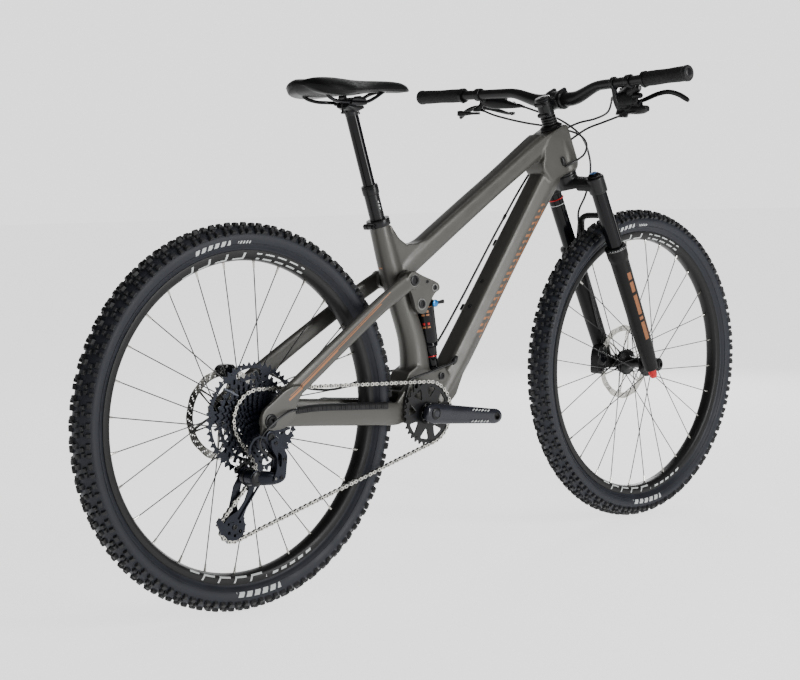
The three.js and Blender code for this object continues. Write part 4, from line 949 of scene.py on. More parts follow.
def saddle():
    """Cover lofted nose to tail: a crowned top, two rear lobes, tucked side panels and a flat base."""
    # x, half width, middle height, lobe rise, side height, base height, base half width
    rows = [
        (-433, 22, 1007.5, 0.5, 1003, 998, 18), (-428, 42, 1010.5, 1.4, 1001, 991, 36),
        (-418, 58, 1013, 2.0, 998, 984.5, 50), (-400, 68, 1014.2, 2.4, 994, 980, 57),
        (-376, 71.5, 1014.4, 2.4, 990.5, 978, 58), (-350, 68, 1013.6, 2.0, 989.5, 979, 52),
        (-322, 57, 1012.8, 1.4, 991, 982.5, 42), (-292, 44.5, 1013, 0.9, 994, 986.5, 32),
        (-262, 33.5, 1014, 0.5, 997, 990, 23), (-232, 26.5, 1015, 0.2, 999, 992, 17.5),
        (-202, 22.5, 1015.4, 0, 1000, 993, 14.5), (-177, 19.5, 1014, 0, 1000, 993.5, 12),
        (-162, 16, 1010.5, 0, 999.5, 994, 10), (-153, 11, 1005.5, 0, 998.5, 995, 7),
        (-149.5, 5, 1001, 0, 998, 996, 4)]
    across = [0, 0.14, 0.3, 0.46, 0.62, 0.76, 0.87, 0.95, 0.99]
    rings = []
    skins = []
    for x, half, middle, lobe, side, base, base_half in eased(rows, 6):
        ring = []
        for t in across:
            drop = (middle - side) * (1 - math.sqrt(max(0.0, 1 - t ** 2.6)))
            hump = lobe * math.exp(-((t - 0.52) / 0.24) ** 2) - lobe * 0.55 * math.exp(-(t / 0.2) ** 2)
            ring.append((t * half, middle - drop + hump))
        ring.append((half, side - 1.0))
        ring.append((half * 0.985, side * 0.62 + base * 0.38))
        ring.append((base_half + (half - base_half) * 0.42, base * 0.86 + side * 0.14))
        ring.append((base_half, base))
        ring.append((base_half * 0.5, base + 2.2))
        mirrored = [(-y, z) for y, z in reversed(ring[1:])]
        rings.append([Vector((x, y, z)) for y, z in ring + [(0, base + 2.6)] + mirrored])
    cover = Shape()
    cover.rings(rings)
    count = len(rings[0])
    side_panels = {9, 10, 11, 12, count - 10, count - 11, count - 12, count - 13}
    cover.skins = [1 if k < len(cover.faces) - 2 and k % count in side_panels else 0
                   for k in range(len(cover.faces))]
    # welt where the top meets each side panel
    cover.paint(1)
    for edge in (9, count - 9):
        line = [ring[edge] for ring in rings[3:-3]]
        cover.sweep(round_section(8), [(*point, 0.9, 0.9) for point in line], UP)
    piece("saddle_cover_and_base", cover, ["cover", "cover_gloss"], "seat", ("saddle",), crease=60)


# ---------------------------------------------------------------- swingarm, stays and rocker
# rows of (x, y, z, half width, half height) on the right side
STAY_ROWS = [
    (-588, -79.8, 374, 5.6, 15), (-548, -78.5, 371, 6, 16), (-470, -69.5, 367, 8, 20.5),
    (-376, -57.5, 357, 8.5, 22), (-300, -48.5, 349, 8, 23), (-240, -42, 342, 5.2, 23.5),
    (-214, -39.5, 342, 4.6, 21)]
SEATSTAY_ROWS = [
    (-600, -81, 376, 5, 13), (-571, -79.8, 395, 6, 15.5), (-545, -78, 412.5, 7, 17),
    (-505, -75, 436, 8, 18.5), (-400, -66, 499, 8, 18),
    (-290, -56, 563, 8, 17.5), (-215, -50.5, 602, 8, 18), (-194, -49.5, 612, 8, 16)]
DROPOUT_WEB = [
    (-611.5, 366), (-611.5, 384), (-604, 395), (-585, 406), (-558, 424), (-536, 432), (-512, 430),
    (-512, 416), (-524, 402), (-531, 390), (-530, 374), (-556, 353), (-600, 352)]
PIVOT_ARM = [(-236, 362), (-238, 322), (-212, 320), (-199, 340), (-192, 372)]


def swingarm():
    """Chainstays with their guard and axle, and the two seatstays that flex against them."""
    body = Shape()
    for side, rows in ((-1, STAY_ROWS), (1, mirror(STAY_ROWS))):
        body.sweep(BLADE, rows, SIDE, 8)
        boss = circle(MAIN_PIVOT, 17, 20, -1.2)[:13]
        body.plate([PIVOT_ARM + boss + [(-210, 388)]], side * 30, side * 43)
        body.pin(REAR_AXLE, side * 74, side * 86, 20, 48)
    body.plate([[(-214, 326), (-200, 330), (-199.5, 372), (-208, 386), (-215, 384)]], -43, 43)
    body.plate([[(-608, 366), (-609, 340), (-600, 332), (-590, 340), (-582, 366)]], -83, -74)
    pins = Shape()
    pins.pin(REAR_AXLE, -100, 100, 6.3, 32)
    pins.pin(MAIN_PIVOT, -60, 60, 7.7, 32)
    pins.pin(HANGER, -100, -60, 5.4, 24)
    tyre_way = Shape().pin(REAR_AXLE, -36, 36, TYRE_RADIUS + 4.5, 96)
    flex_way = Shape()
    flex_way.pin(STAY_FLEX, -100, -60, 14, 32)
    flex_way.pin(STAY_FLEX, 60, 100, 14, 32)
    piece("swingarm_chainstays", moulded(body, 1.9, 4, [pins, tyre_way, flex_way]), "stay", "swingarm",
          ("chainstays",), crease=MOULDED_CREASE)

    guard = Shape()
    rows = [row for row in eased(STAY_ROWS, 8) if -540 < row[0] < -262]
    guard.sweep(BLADE, [(x, y, z + 0.68 * h, w + 1.4, 0.3 * h + 1.6) for x, y, z, w, h in rows])
    for k in range(46):
        x = -534 + 264 * k / 45
        near = min(rows, key=lambda row: abs(row[0] - x))
        centre = Vector((x, near[1] - near[3] - 1.0, near[2] + 0.68 * near[4]))
        guard.block(centre, Vector((1, 0, -0.12)).normalized(), UP, -SIDE, (2.6, near[4] * 0.42, 1.2))
    piece("chainstay_guard", guard, "rubber", "swingarm", bevel=0.5)

    axle = Shape()
    for side in (-1, 1):
        axle.turned(at(REAR_AXLE, side * 86.2), SIDE * side, [
            (13.5, 0), (13.5, 1.2), (12.6, 2.2), (10.2, 2.6), (9.6, 4.6), (8.8, 5.4), (5.2, 5.4),
            (4.8, 1.6)], 36)
    axle.pin(REAR_AXLE, -86, 86, 5.8, 24)
    axle.ring(at(HANGER, -83), -SIDE, 5.6, 9.5, 2.2, 24)
    piece("rear_axle_and_caps", axle, "black", "swingarm", ("rear_axle",))

    for name, side, rows in (("right", -1, SEATSTAY_ROWS), ("left", 1, mirror(SEATSTAY_ROWS))):
        stay = Shape()
        stay.sweep(BLADE, rows, SIDE, 8)
        stay.plate([soft_corners(DROPOUT_WEB, 0.3, 2)], side * 78.5, side * 87.2)
        stay.pin(STAY_PIVOT, side * 41, side * 58, 19, 48)
        axle_way = Shape().pin(REAR_AXLE, -100, 100, 14.2, 48)
        piece(f"seatstay_{name}_blade", moulded(stay, 1.7, 4, [axle_way]), "stay",
              ("swingarm", "seatstays", Vector((-590, side * 80, 380)) * MM,
               Vector((-520, side * 78, 425)) * MM),
              (f"seatstay_{name}",), crease=MOULDED_CREASE)
    hardware = Shape()
    for side in (-1, 1):
        hardware.paint(0).pin(STAY_PIVOT, side * 28.5, side * 58.2, 5, 24)
        hardware.bolt(at(STAY_PIVOT, side * 57.8), SIDE * side, 11, 3.0)
        hardware.paint(1).ring(at(STAY_PIVOT, side * 57.6), SIDE * side, 11.2, 12.8, 1.0)
    piece("seatstay_pivot_bolts", hardware, ["black", "dull_steel"], "seatstays")


ROCKER_OUTLINE = [
    (-158, 541), (-143, 543), (-136, 556), (-118, 579.5), (-104, 588), (-104.5, 598), (-115, 605.5),
    (-150, 619), (-178, 631), (-196, 631), (-210.5, 619), (-210.5, 603), (-199, 594), (-185, 588),
    (-176, 566), (-171, 550)]


def rocker():
    """Two plates with a cross pin, and the bolts and washers on their outer faces."""
    outline = [row[:2] for row in eased(ROCKER_OUTLINE, 4, loop=True)]
    link = Shape()
    for y0, y1 in ((-39, -28), (28, 39)):
        link.plate([outline, circle(ROCKER_PIVOT, 6.7, 32), circle(STAY_PIVOT, 9.5, 32)], y0, y1)
    link.pin(Vector((-138, 0, 606)), -29, 29, 6.5, 24)
    link.pin(SHOCK_TOP, -38, 38, 4.2, 24)
    for side in (-1, 1):
        out = SIDE * side
        link.paint(1)
        link.ring(at(SHOCK_TOP, side * 38.8), out, 5.4, 8.6, 1.3)
        link.ring(at(ROCKER_PIVOT, side * 38.8), out, 10.0, 12.2, 1.0)
        link.ring(Vector((-116, side * 38.9, 590)), out, 2.0, 3.0, 0.6, 20)
        link.paint(2)
        link.bolt(at(SHOCK_TOP, side * 38.8), out, 5.6, 2.2)
        link.bolt(Vector((-138, side * 38.8, 606)), out, 3.4, 1.4)
    piece("rocker_link_plates", link, ["stay", "dull_steel", "black"], "rocker", ("rocker_link",),
          bevel=1.8)


def shock():
    """Air can, the shaft that slides in it, and the lockout lever on the can."""
    can = Shape()
    can.pin(SHOCK_TOP, -13, 13, 13.5, 40)
    can.rod(on_shock(4), on_shock(27), 15, 19, 40)
    down = -SHOCK_UP
    can.turned(on_shock(26), down, [
        (16, 0), (19.8, 1.5), (20.4, 4), (20.4, 10), (19.6, 11), (19.6, 12.4), (20.5, 13.4), (20.5, 88),
        (19.8, 91), (18.6, 92.5), (19.6, 95), (19.6, 100), (18, 102), (16.3, 102), (16.3, 6),
        (11.4, 5.5)], 56)
    can.paint(1)
    can.ring(on_shock(40), down, 20.2, 20.8, 1.2, 56)
    # generic coloured chips on the can's outer faces
    for k, (low, skin) in enumerate(((50, 1), (57, 1), (76, 2), (83, 1))):
        for turn in (-2.55, -2.05, 0.6):
            can.paint(skin)
            out = FORWARD * math.cos(turn) + SIDE * math.sin(turn)
            out = (out - down * out.dot(down)).normalized()
            size = (5.2 - 1.2 * (k % 2), 5.0 + 2 * (k % 2), 0.75)
            can.block(on_shock(low) + out * 20.0, down, out.cross(down), out, size, 0.96)
    can.paint(0)
    # air valve on the rear face, then the head of the top bolt
    rear = SIDE.cross(down).normalized()
    can.rod(on_shock(16) + rear * 12 - SIDE * 8, on_shock(16) + rear * 23 - SIDE * 8, 4.2, segments=20)
    can.paint(3)
    can.bolt(at(SHOCK_TOP, -13), -SIDE, 7.5, 1.6)
    piece("shock_air_can", can, ["gloss", "orange", "red", "dull_steel"], "shock_can", ("shock_can",),
          bevel=0.4)

    shaft = Shape()
    shaft.rod(on_shock(78), on_shock(181), 11.2, segments=48)
    shaft.turned(on_shock(101), down, [(11, 0), (15.6, 0.6), (15.8, 2), (15.8, 42), (15.0, 44), (15.0, 46),
                                       (14.4, 48), (14.4, 66), (13.4, 69)], 48)
    shaft.paint(1)
    shaft.rod(on_shock(172), on_shock(183), 13.2, segments=40)
    shaft.pin(SHOCK_FOOT, -13.5, 13.5, 12.6, 40)
    shaft.paint(2)
    shaft.turned(on_shock(146), down, [(14.0, 0), (15.6, 0.4), (15.9, 1.2), (15.6, 2.0), (14.0, 2.4)], 40,
                 loop=True)
    piece("shock_shaft_and_eye", shaft, ["gloss", "black", "red"], "shock_shaft", ("shock_shaft",))

    hub = on_shock(36) + Vector((6, -20, 2))
    lever = Shape()
    lever.rod(hub - SIDE * 6.4, hub - SIDE * 1.4, 6.6, segments=28)
    lever.sweep(BLADE, [
        (hub.x + 1, hub.y - 4.2, hub.z, 2.4, 3.4), (hub.x + 14, hub.y - 4.8, hub.z + 1, 2.6, 3.4),
        (hub.x + 27, hub.y - 5.2, hub.z + 2.4, 3.0, 4.4)], SIDE, 5)
    lever.paint(1)
    lever.turned(hub - SIDE * 6.2, -SIDE, [(7.4, 0), (8.0, 0.8), (7.8, 3.6), (6.4, 4.4)], 20)
    piece("shock_lockout_lever", lever, ["black", "blue"], "shock_lever", ("shock_lever",), bevel=0.5)


# ---------------------------------------------------------------- fork
def fork_crown():
    """Crown with both stanchions, the steerer and the two dials on top of the legs."""
    body = Shape()
    body.rod(on_steer(482), on_steer(519), 25, 25, 48)
    for side in (1, -1):
        body.sweep(round_section(20, 2.6), [
            (*on_steer(494, -2, 0), 24, 19), (*on_steer(491, 5, side * 30), 22, 14.5),
            (*on_leg(483, side), 20, 15)], STEER_AHEAD, 6)
        body.rod(on_leg(463, side), on_leg(CROWN_TOP, side), 21, segments=48)
    axle = on_steer(FORK_TRAVEL, FORK_OFFSET)
    tyre_way = Shape().pin(axle, -34, 34, TYRE_RADIUS + 2, 96)
    skin = moulded(body, 1.9, 5, [tyre_way])
    piece("fork_crown_forging", skin, "satin", "steering", ("fork_crown_unit",), crease=MOULDED_CREASE)

    tubes = Shape()
    for side in (1, -1):
        tubes.rod(on_leg(176, side), on_leg(466, side), STANCHION_RADIUS, segments=64)
    tubes.paint(1)
    tubes.rod(on_steer(515), on_steer(640), 14.3, segments=40)
    tubes.turned(on_steer(519), STEER_UP, [(25, 0), (26.4, 1), (26.4, 4), (24.8, 6.6), (15, 6.6)], 48)
    # a red travel ring and a pale marker ring on the left stanchion
    tubes.paint(2)
    tubes.turned(on_leg(449.4, 1), STEER_UP,
                 [(17.6, 0), (19.2, 0.5), (19.7, 1.6), (19.2, 2.7), (17.6, 3.2)], 48, loop=True)
    tubes.paint(3)
    tubes.ring(on_leg(436, 1), STEER_UP, 17.4, 17.7, 1.4, 48)
    piece("fork_stanchions_and_race", tubes, ["gloss", "black", "red", "pale"], "steering")

    caps = Shape()
    left = on_leg(CROWN_TOP - 0.5, 1)
    caps.turned(left, STEER_UP, [(19.5, 0), (19.5, 2.2), (17.5, 3.6), (13, 3.8), (12.2, 6.5), (11, 7.6),
                                 (4.5, 7.8), (4.2, 7.0)], 40)
    caps.turned(left + STEER_UP * 3.2, STEER_UP, [(13.5, 0), (13.5, 3.2), (12.6, 3.9)], 8)
    piece("fork_air_cap", caps, "gloss", "steering")

    dial = Shape()
    foot = on_leg(CROWN_TOP + 0.4, -1)
    dial.turned(foot, STEER_UP, [(15.2, 0), (16.4, 0.5), (16.4, 3.4), (15.6, 4.4), (13.6, 4.8), (11, 8.0),
                                 (9.6, 8.6)], 8)
    dial.paint(1)
    dial.turned(foot + STEER_UP * 8, STEER_UP, [(8.4, 0), (8.4, 0.9), (6.2, 1.2), (2.6, 1.2),
                                               (2.4, 0.6)], 32)
    piece("fork_damper_dial", dial, ["gloss", "blue"], "lockout_dial", ("lockout_dial",), bevel=0.5)


def fork_lowers():
    """Both legs and the arch in one casting, with seals, axle and rebound knob."""
    body = Shape()
    stanchion_way = Shape()
    for side in (1, -1):
        body.rod(on_leg(3, side), on_leg(60, side), 16, 19.5, 48)
        body.rod(on_leg(58, side), on_leg(302, side), 19.5, 22, 48)
        body.turned(on_leg(290, side), STEER_UP, [(21.5, 0), (24, 8), (24.6, 16), (24.6, 31)], 48)
        body.sweep(BLADE, [
            (*on_steer(26, LEG_AHEAD, side * 62), 15, 7), (*on_steer(6, 30, side * 62), 15, 7),
            (*on_steer(-1, FORK_OFFSET, side * 62), 13, 7)], STEER_UP, 5)
        body.pin(FRONT_AXLE, side * 55, side * 70, 16, 48)
        body.sweep(BLADE, [
            (*on_steer(300, LEG_AHEAD + 12, side * (LEG_SIDE - 9)), 15, 9),
            (*on_steer(345, ARCH_AHEAD - 4, side * 54), 11, 7.5),
            (*on_steer(376, ARCH_AHEAD, side * 44), 9, 7), (*on_steer(388, ARCH_AHEAD, side * 27), 9, 6.8),
            (*on_steer(389.5, ARCH_AHEAD, side * -1), 9, 6.2)],
            STEER_AHEAD, 6)
        stanchion_way.rod(on_leg(48, side), on_leg(430, side), STANCHION_RADIUS + 0.4, segments=48)
    pins = Shape()
    pins.pin(FRONT_AXLE, -90, 90, 7.8, 32)
    hub_way = Shape().pin(FRONT_AXLE, -FRONT_HUB_HALF - 0.4, FRONT_HUB_HALF + 0.4, 14, 40)
    skin = moulded(body, 1.9, 4, [stanchion_way, pins, hub_way])
    piece("fork_lower_casting", skin, "legs", "fork_lowers", ("fork_lowers",), crease=MOULDED_CREASE)

    seals = Shape()
    for side in (1, -1):
        foot = on_leg(FORK_SEAL - 7, side)
        seals.paint(0).turned(foot, STEER_UP, [(18.0, 0), (25.3, 0), (25.6, 1.0), (25.6, 6.5), (24.4, 8.4),
                                               (20.4, 9.4), (18.0, 9.4)], 64, loop=True)
        seals.paint(1)
        seals.ring(foot + STEER_UP * 2.0, STEER_UP, 25.0, 25.9, 1.3, 64)
        seals.paint(2)
        for k in range(9):
            angle = math.pi * (1.05 + 0.075 * k)
            out = STEER_AHEAD * math.cos(angle) + SIDE * math.sin(angle)
            seals.block(foot + STEER_UP * 4.9 + out * 25.3, out.cross(STEER_UP), STEER_UP, out,
                        (2.2, 1.4, 0.5))
    piece("fork_wiper_seals", seals, ["black", "dull_steel", "pale"], "fork_lowers")

    axle = Shape()
    axle.pin(FRONT_AXLE, -71, 71, 7.4, 32)
    axle.turned(at(FRONT_AXLE, -69), -SIDE, [(11.8, 0), (11.8, 2.6), (11, 3.4), (8.6, 3.6), (8.2, 5.4),
                                             (5.2, 5.6), (4.8, 1.6)], 36)
    axle.turned(at(FRONT_AXLE, 69), SIDE, [(10.5, 0), (10.5, 2), (9.6, 2.8), (5.0, 2.8), (4.8, 1)], 36)
    piece("front_axle_pin", axle, "black", "fork_lowers", ("front_axle",))

    knob = Shape()
    foot = on_leg(3.5, -1)
    down = -STEER_UP
    knob.turned(foot, down, [(8.0, 0), (9.4, 0.8), (9.4, 16.2), (8.6, 19), (7.4, 22), (3, 22.6)], 32)
    for k in range(16):
        angle = 2 * math.pi * k / 16
        out = STEER_AHEAD * math.cos(angle) + SIDE * math.sin(angle)
        knob.block(foot + down * 10 + out * 9.0, down, out.cross(down), out, (10.0, 2.0, 0.9))
    piece("fork_rebound_knob", knob, "red", "rebound_knob", ("rebound_knob",))


# ---------------------------------------------------------------- cockpit
BAR = on_steer(BAR_UP, BAR_AHEAD)
MASTER_Y = 225
SHIFTER_Y = 178


def bar_point(side, y):
    """Middle of the handlebar at a distance from the bicycle's middle: side is 1 on the left."""
    reach = min(max((y - 40) / 100, 0), 1)
    rise = 24 * reach * reach * (3 - 2 * reach)
    return Vector((BAR.x - max(y - 60, 0) * 0.135, side * y, BAR.z + rise + max(y - 140, 0) * 0.02))


def bar_radius(y):
    """The bar is thick at the stem and thin outside its bends."""
    return 15.9 if y < 42 else 11.1 if y > 130 else 15.9 - 4.8 * (y - 42) / 88


def handlebar_and_stem():
    """Riser bar, and the stem with its faceplate, spacers and top cap."""
    bar = Shape()
    # stations every 8 mm from one end to the other
    spots = [397 - 8 * k for k in range(99)] + [-397]
    bar.sweep(round_section(28), [
        (*bar_point(1 if y > 0 else -1, abs(y)), bar_radius(abs(y)), bar_radius(abs(y))) for y in spots],
        FORWARD)
    piece("riser_handlebar", bar, "satin", "steering", ("handlebar",))

    body = Shape()
    body.rod(on_steer(660), on_steer(700), 17.4, segments=40)
    body.sweep(BLADE, [
        (*on_steer(BAR_UP, 2), 15, 18), (*on_steer(BAR_UP, 24), 15, 15.5),
        (*on_steer(BAR_UP, BAR_AHEAD), 21.5, 17)],
        SIDE, 5)
    body.rod(on_steer(BAR_UP, BAR_AHEAD, -23.5), on_steer(BAR_UP, BAR_AHEAD, 23.5), 20.6, segments=48)
    bore = Shape().rod(BAR - SIDE * 60, BAR + SIDE * 60, 16.0, segments=48)
    piece("stem_body", moulded(body, 1.5, 4, [bore]), "black", "steering", ("stem",), crease=MOULDED_CREASE)

    parts = Shape()
    # faceplate bands with their four bolts, the top cap, and the spacers below the stem
    for side in (-1, 1):
        for lift in (1, -1):
            spot = on_steer(BAR_UP + lift * 17.5, BAR_AHEAD + 8, side * 15)
            parts.sweep(BLADE, [(*(spot - STEER_AHEAD * 9), 6, 5.4), (*(spot + STEER_AHEAD * 9), 6, 5.4)],
                        SIDE)
            parts.bolt(spot + STEER_AHEAD * 8.6, STEER_AHEAD, 3.8, 3.4)
        parts.rod(on_steer(BAR_UP, BAR_AHEAD, side * 9), on_steer(BAR_UP, BAR_AHEAD, side * 22), 21.6,
                  segments=48)
    for lift in (667, 692):
        spot = on_steer(lift, -14)
        parts.sweep(BLADE, [(*(spot - SIDE * 12), 5, 5), (*(spot + SIDE * 12), 5, 5)], STEER_UP)
        parts.bolt(spot - SIDE * 11.6, -SIDE, 3.8, 3.0)
        parts.bolt(spot + SIDE * 11.6, SIDE, 3.8, 3.0)
    parts.turned(on_steer(700), STEER_UP, [(17.5, 0), (18.4, 0.6), (18.4, 2.6), (16.8, 4.0), (5.2, 4.8),
                                           (4.8, 2.6)], 48)
    parts.turned(on_steer(633.0), STEER_UP, [(25.4, 0), (26.2, 0.8), (25.6, 3.0), (21, 6.4),
                                               (18.6, 7.6)], 48)
    for k in range(3):
        parts.ring(on_steer(641.2 + 6.2 * k), STEER_UP, 14.5, 17.8, 5.7, 48)
    faceplate = carved(worked(parts), [bore], self_crossing=True)
    piece("stem_faceplate_and_caps", faceplate, "black", "steering", crease=MOULDED_CREASE)


def bar_bore(side, y):
    """Cutter for the hole that a clamp has round the handlebar."""
    return Shape().rod(bar_point(side, y - 30), bar_point(side, y + 30), 11.5, segments=32)


def grips():
    """Ribbed sleeves, each with a clamp at its inner end and a plug at its outer end."""
    for name, side in (("left", 1), ("right", -1)):
        grip = Shape()
        along = (bar_point(side, 396) - bar_point(side, 272)).normalized()
        start = bar_point(side, 268)
        profile = [(11.3, 0.2), (15.2, 0.2), (15.6, 8.5)]
        for k in range(27):
            z = 11 + 4.1 * k
            swell = 15.6 + 0.4 * math.sin(k * 0.33)
            profile += [(swell - 0.35, z), (swell + 0.3, z + 0.6), (swell + 0.3, z + 2.6),
                        (swell - 0.35, z + 3.2)]
        profile += [(16.2, 122), (17.3, 124.5), (17.3, 130.5), (15.8, 133), (9, 133.4), (8.6, 131.6)]
        grip.turned(start, along, profile, 40)
        grip.paint(1)
        grip.ring(start, along, 11.2, 17.4, 8.4, 48)
        grip.turned(start + along * 131.5, along, [(10, 0), (10, 2.0), (8.4, 2.9), (3, 2.9)], 32)
        grip.bolt(start + along * 4.2 + Vector((0.5, 0, -16.2)), -UP, 3.0, 2.2)
        piece(f"grip_{name}_ribbed", grip, ["rubber", "black"], "steering", (f"grip_{name}",))


def brake_control(name, side):
    """Brake master with its clamp and cover, and its lever; the left one also holds the remote."""
    clamp = bar_point(side, MASTER_Y)
    front = clamp + Vector((24, 0, -14))
    body = Shape()
    body.rod(bar_point(side, MASTER_Y - 7), bar_point(side, MASTER_Y + 7), 15.2, segments=40)
    body.sweep(BLADE, [(clamp.x + 8, side * MASTER_Y, clamp.z - 6, 7, 7), (*front, 7, 7)])
    body.sweep(round_section(20, 2.6), [
        (front.x - 6, side * (MASTER_Y + 14), front.z, 5, 5),
        (front.x - 2, side * (MASTER_Y + 2), front.z - 2, 9, 10),
        (front.x + 2, side * (MASTER_Y - 20), front.z - 6, 10, 13),
        (front.x + 14, side * (MASTER_Y - 50), front.z - 10, 9.5, 11),
        (front.x + 20, side * (MASTER_Y - 70), front.z - 14, 6.4, 7),
        (front.x + 26, side * (MASTER_Y - 88), front.z - 16, 4.4, 4.4)], FORWARD, 5)
    hub = lever_pivot(side)
    body.rod(Vector((*hub.xy, front.z - 4)), Vector((*hub.xy, front.z - 9)), 9, segments=32)
    if side > 0:
        remote = remote_hub()
        body.sweep(BLADE, [
            (remote.x + 12, MASTER_Y + 4, remote.z + 26, 5, 5),
            (remote.x + 2, MASTER_Y + 12, remote.z + 8, 6, 5),
            (remote.x, MASTER_Y + 22, remote.z + 1, 7, 6)], FORWARD, 4)
        body.rod(remote + UP * -4, remote + UP * 5, 9.5, segments=32)
    lever_way = Shape().rod(hub + UP * -40, hub + UP * -10.5, 16, segments=32)
    piece(f"brake_master_{name}_body", moulded(body, 1.2, 4, [bar_bore(side, MASTER_Y), lever_way]),
          "black", "steering",
          (f"brake_master_{name}",), crease=MOULDED_CREASE)

    detail = Shape()
    cap = front + Vector((6, side * -30, 6.4))
    ends = (cap - Vector((5, side * -24, -2)), cap + Vector((8, side * -22, -4)))
    detail.sweep(BLADE, [(*end, 7.4, 2.2) for end in ends], FORWARD)
    detail.bolt(cap + Vector((-3, side * 16, 2.6)), UP, 2.2, 1.2)
    detail.bolt(cap + Vector((5, side * -14, 0.6)), UP, 2.2, 1.2)
    detail.paint(1)
    detail.bolt(clamp + Vector((15.4, 0, 8)), Vector((1, 0, 0.5)), 3.2, 2.6)
    piece(f"brake_master_{name}_cover", detail, ["gloss", "dull_steel"], "steering", bevel=0.4)

    lever = Shape()
    lever.rod(hub + UP * -17.6, hub + UP * -10.9, 7.2, segments=28)
    lever.sweep(round_section(16, 3.0), [
        (hub.x - 3, hub.y - side * 5, hub.z - 14, 5, 3),
        (hub.x + 2, hub.y + side * 12, hub.z - 14, 4.4, 3.4),
        (hub.x + 10, hub.y + side * 45, hub.z - 7, 3.6, 4.6),
        (hub.x + 6, hub.y + side * 85, hub.z + 3, 3.4, 5.2),
        (hub.x + 1, hub.y + side * 120, hub.z + 6, 3.4, 5.4),
        (hub.x - 1, hub.y + side * 148, hub.z - 1, 3.6, 5.6),
        (hub.x, hub.y + side * 168, hub.z - 12, 3.6, 5.4),
        (hub.x + 1, hub.y + side * 174, hub.z - 17, 2.4, 3.4)],
        FORWARD, 5)
    lever.bolt(hub + UP * -17.2, -UP, 3.4, 1.6)
    piece(f"brake_lever_{name}_blade", lever, "black", f"brake_lever_{name}", (f"brake_lever_{name}",),
          bevel=0.4)


def lever_pivot(side):
    return bar_point(side, 168) + Vector((44, 0, -30))


def remote_hub():
    return bar_point(1, MASTER_Y) + Vector((14, 22, -34))


def shifter_hub():
    return bar_point(-1, SHIFTER_Y) + Vector((30, 0, -62))


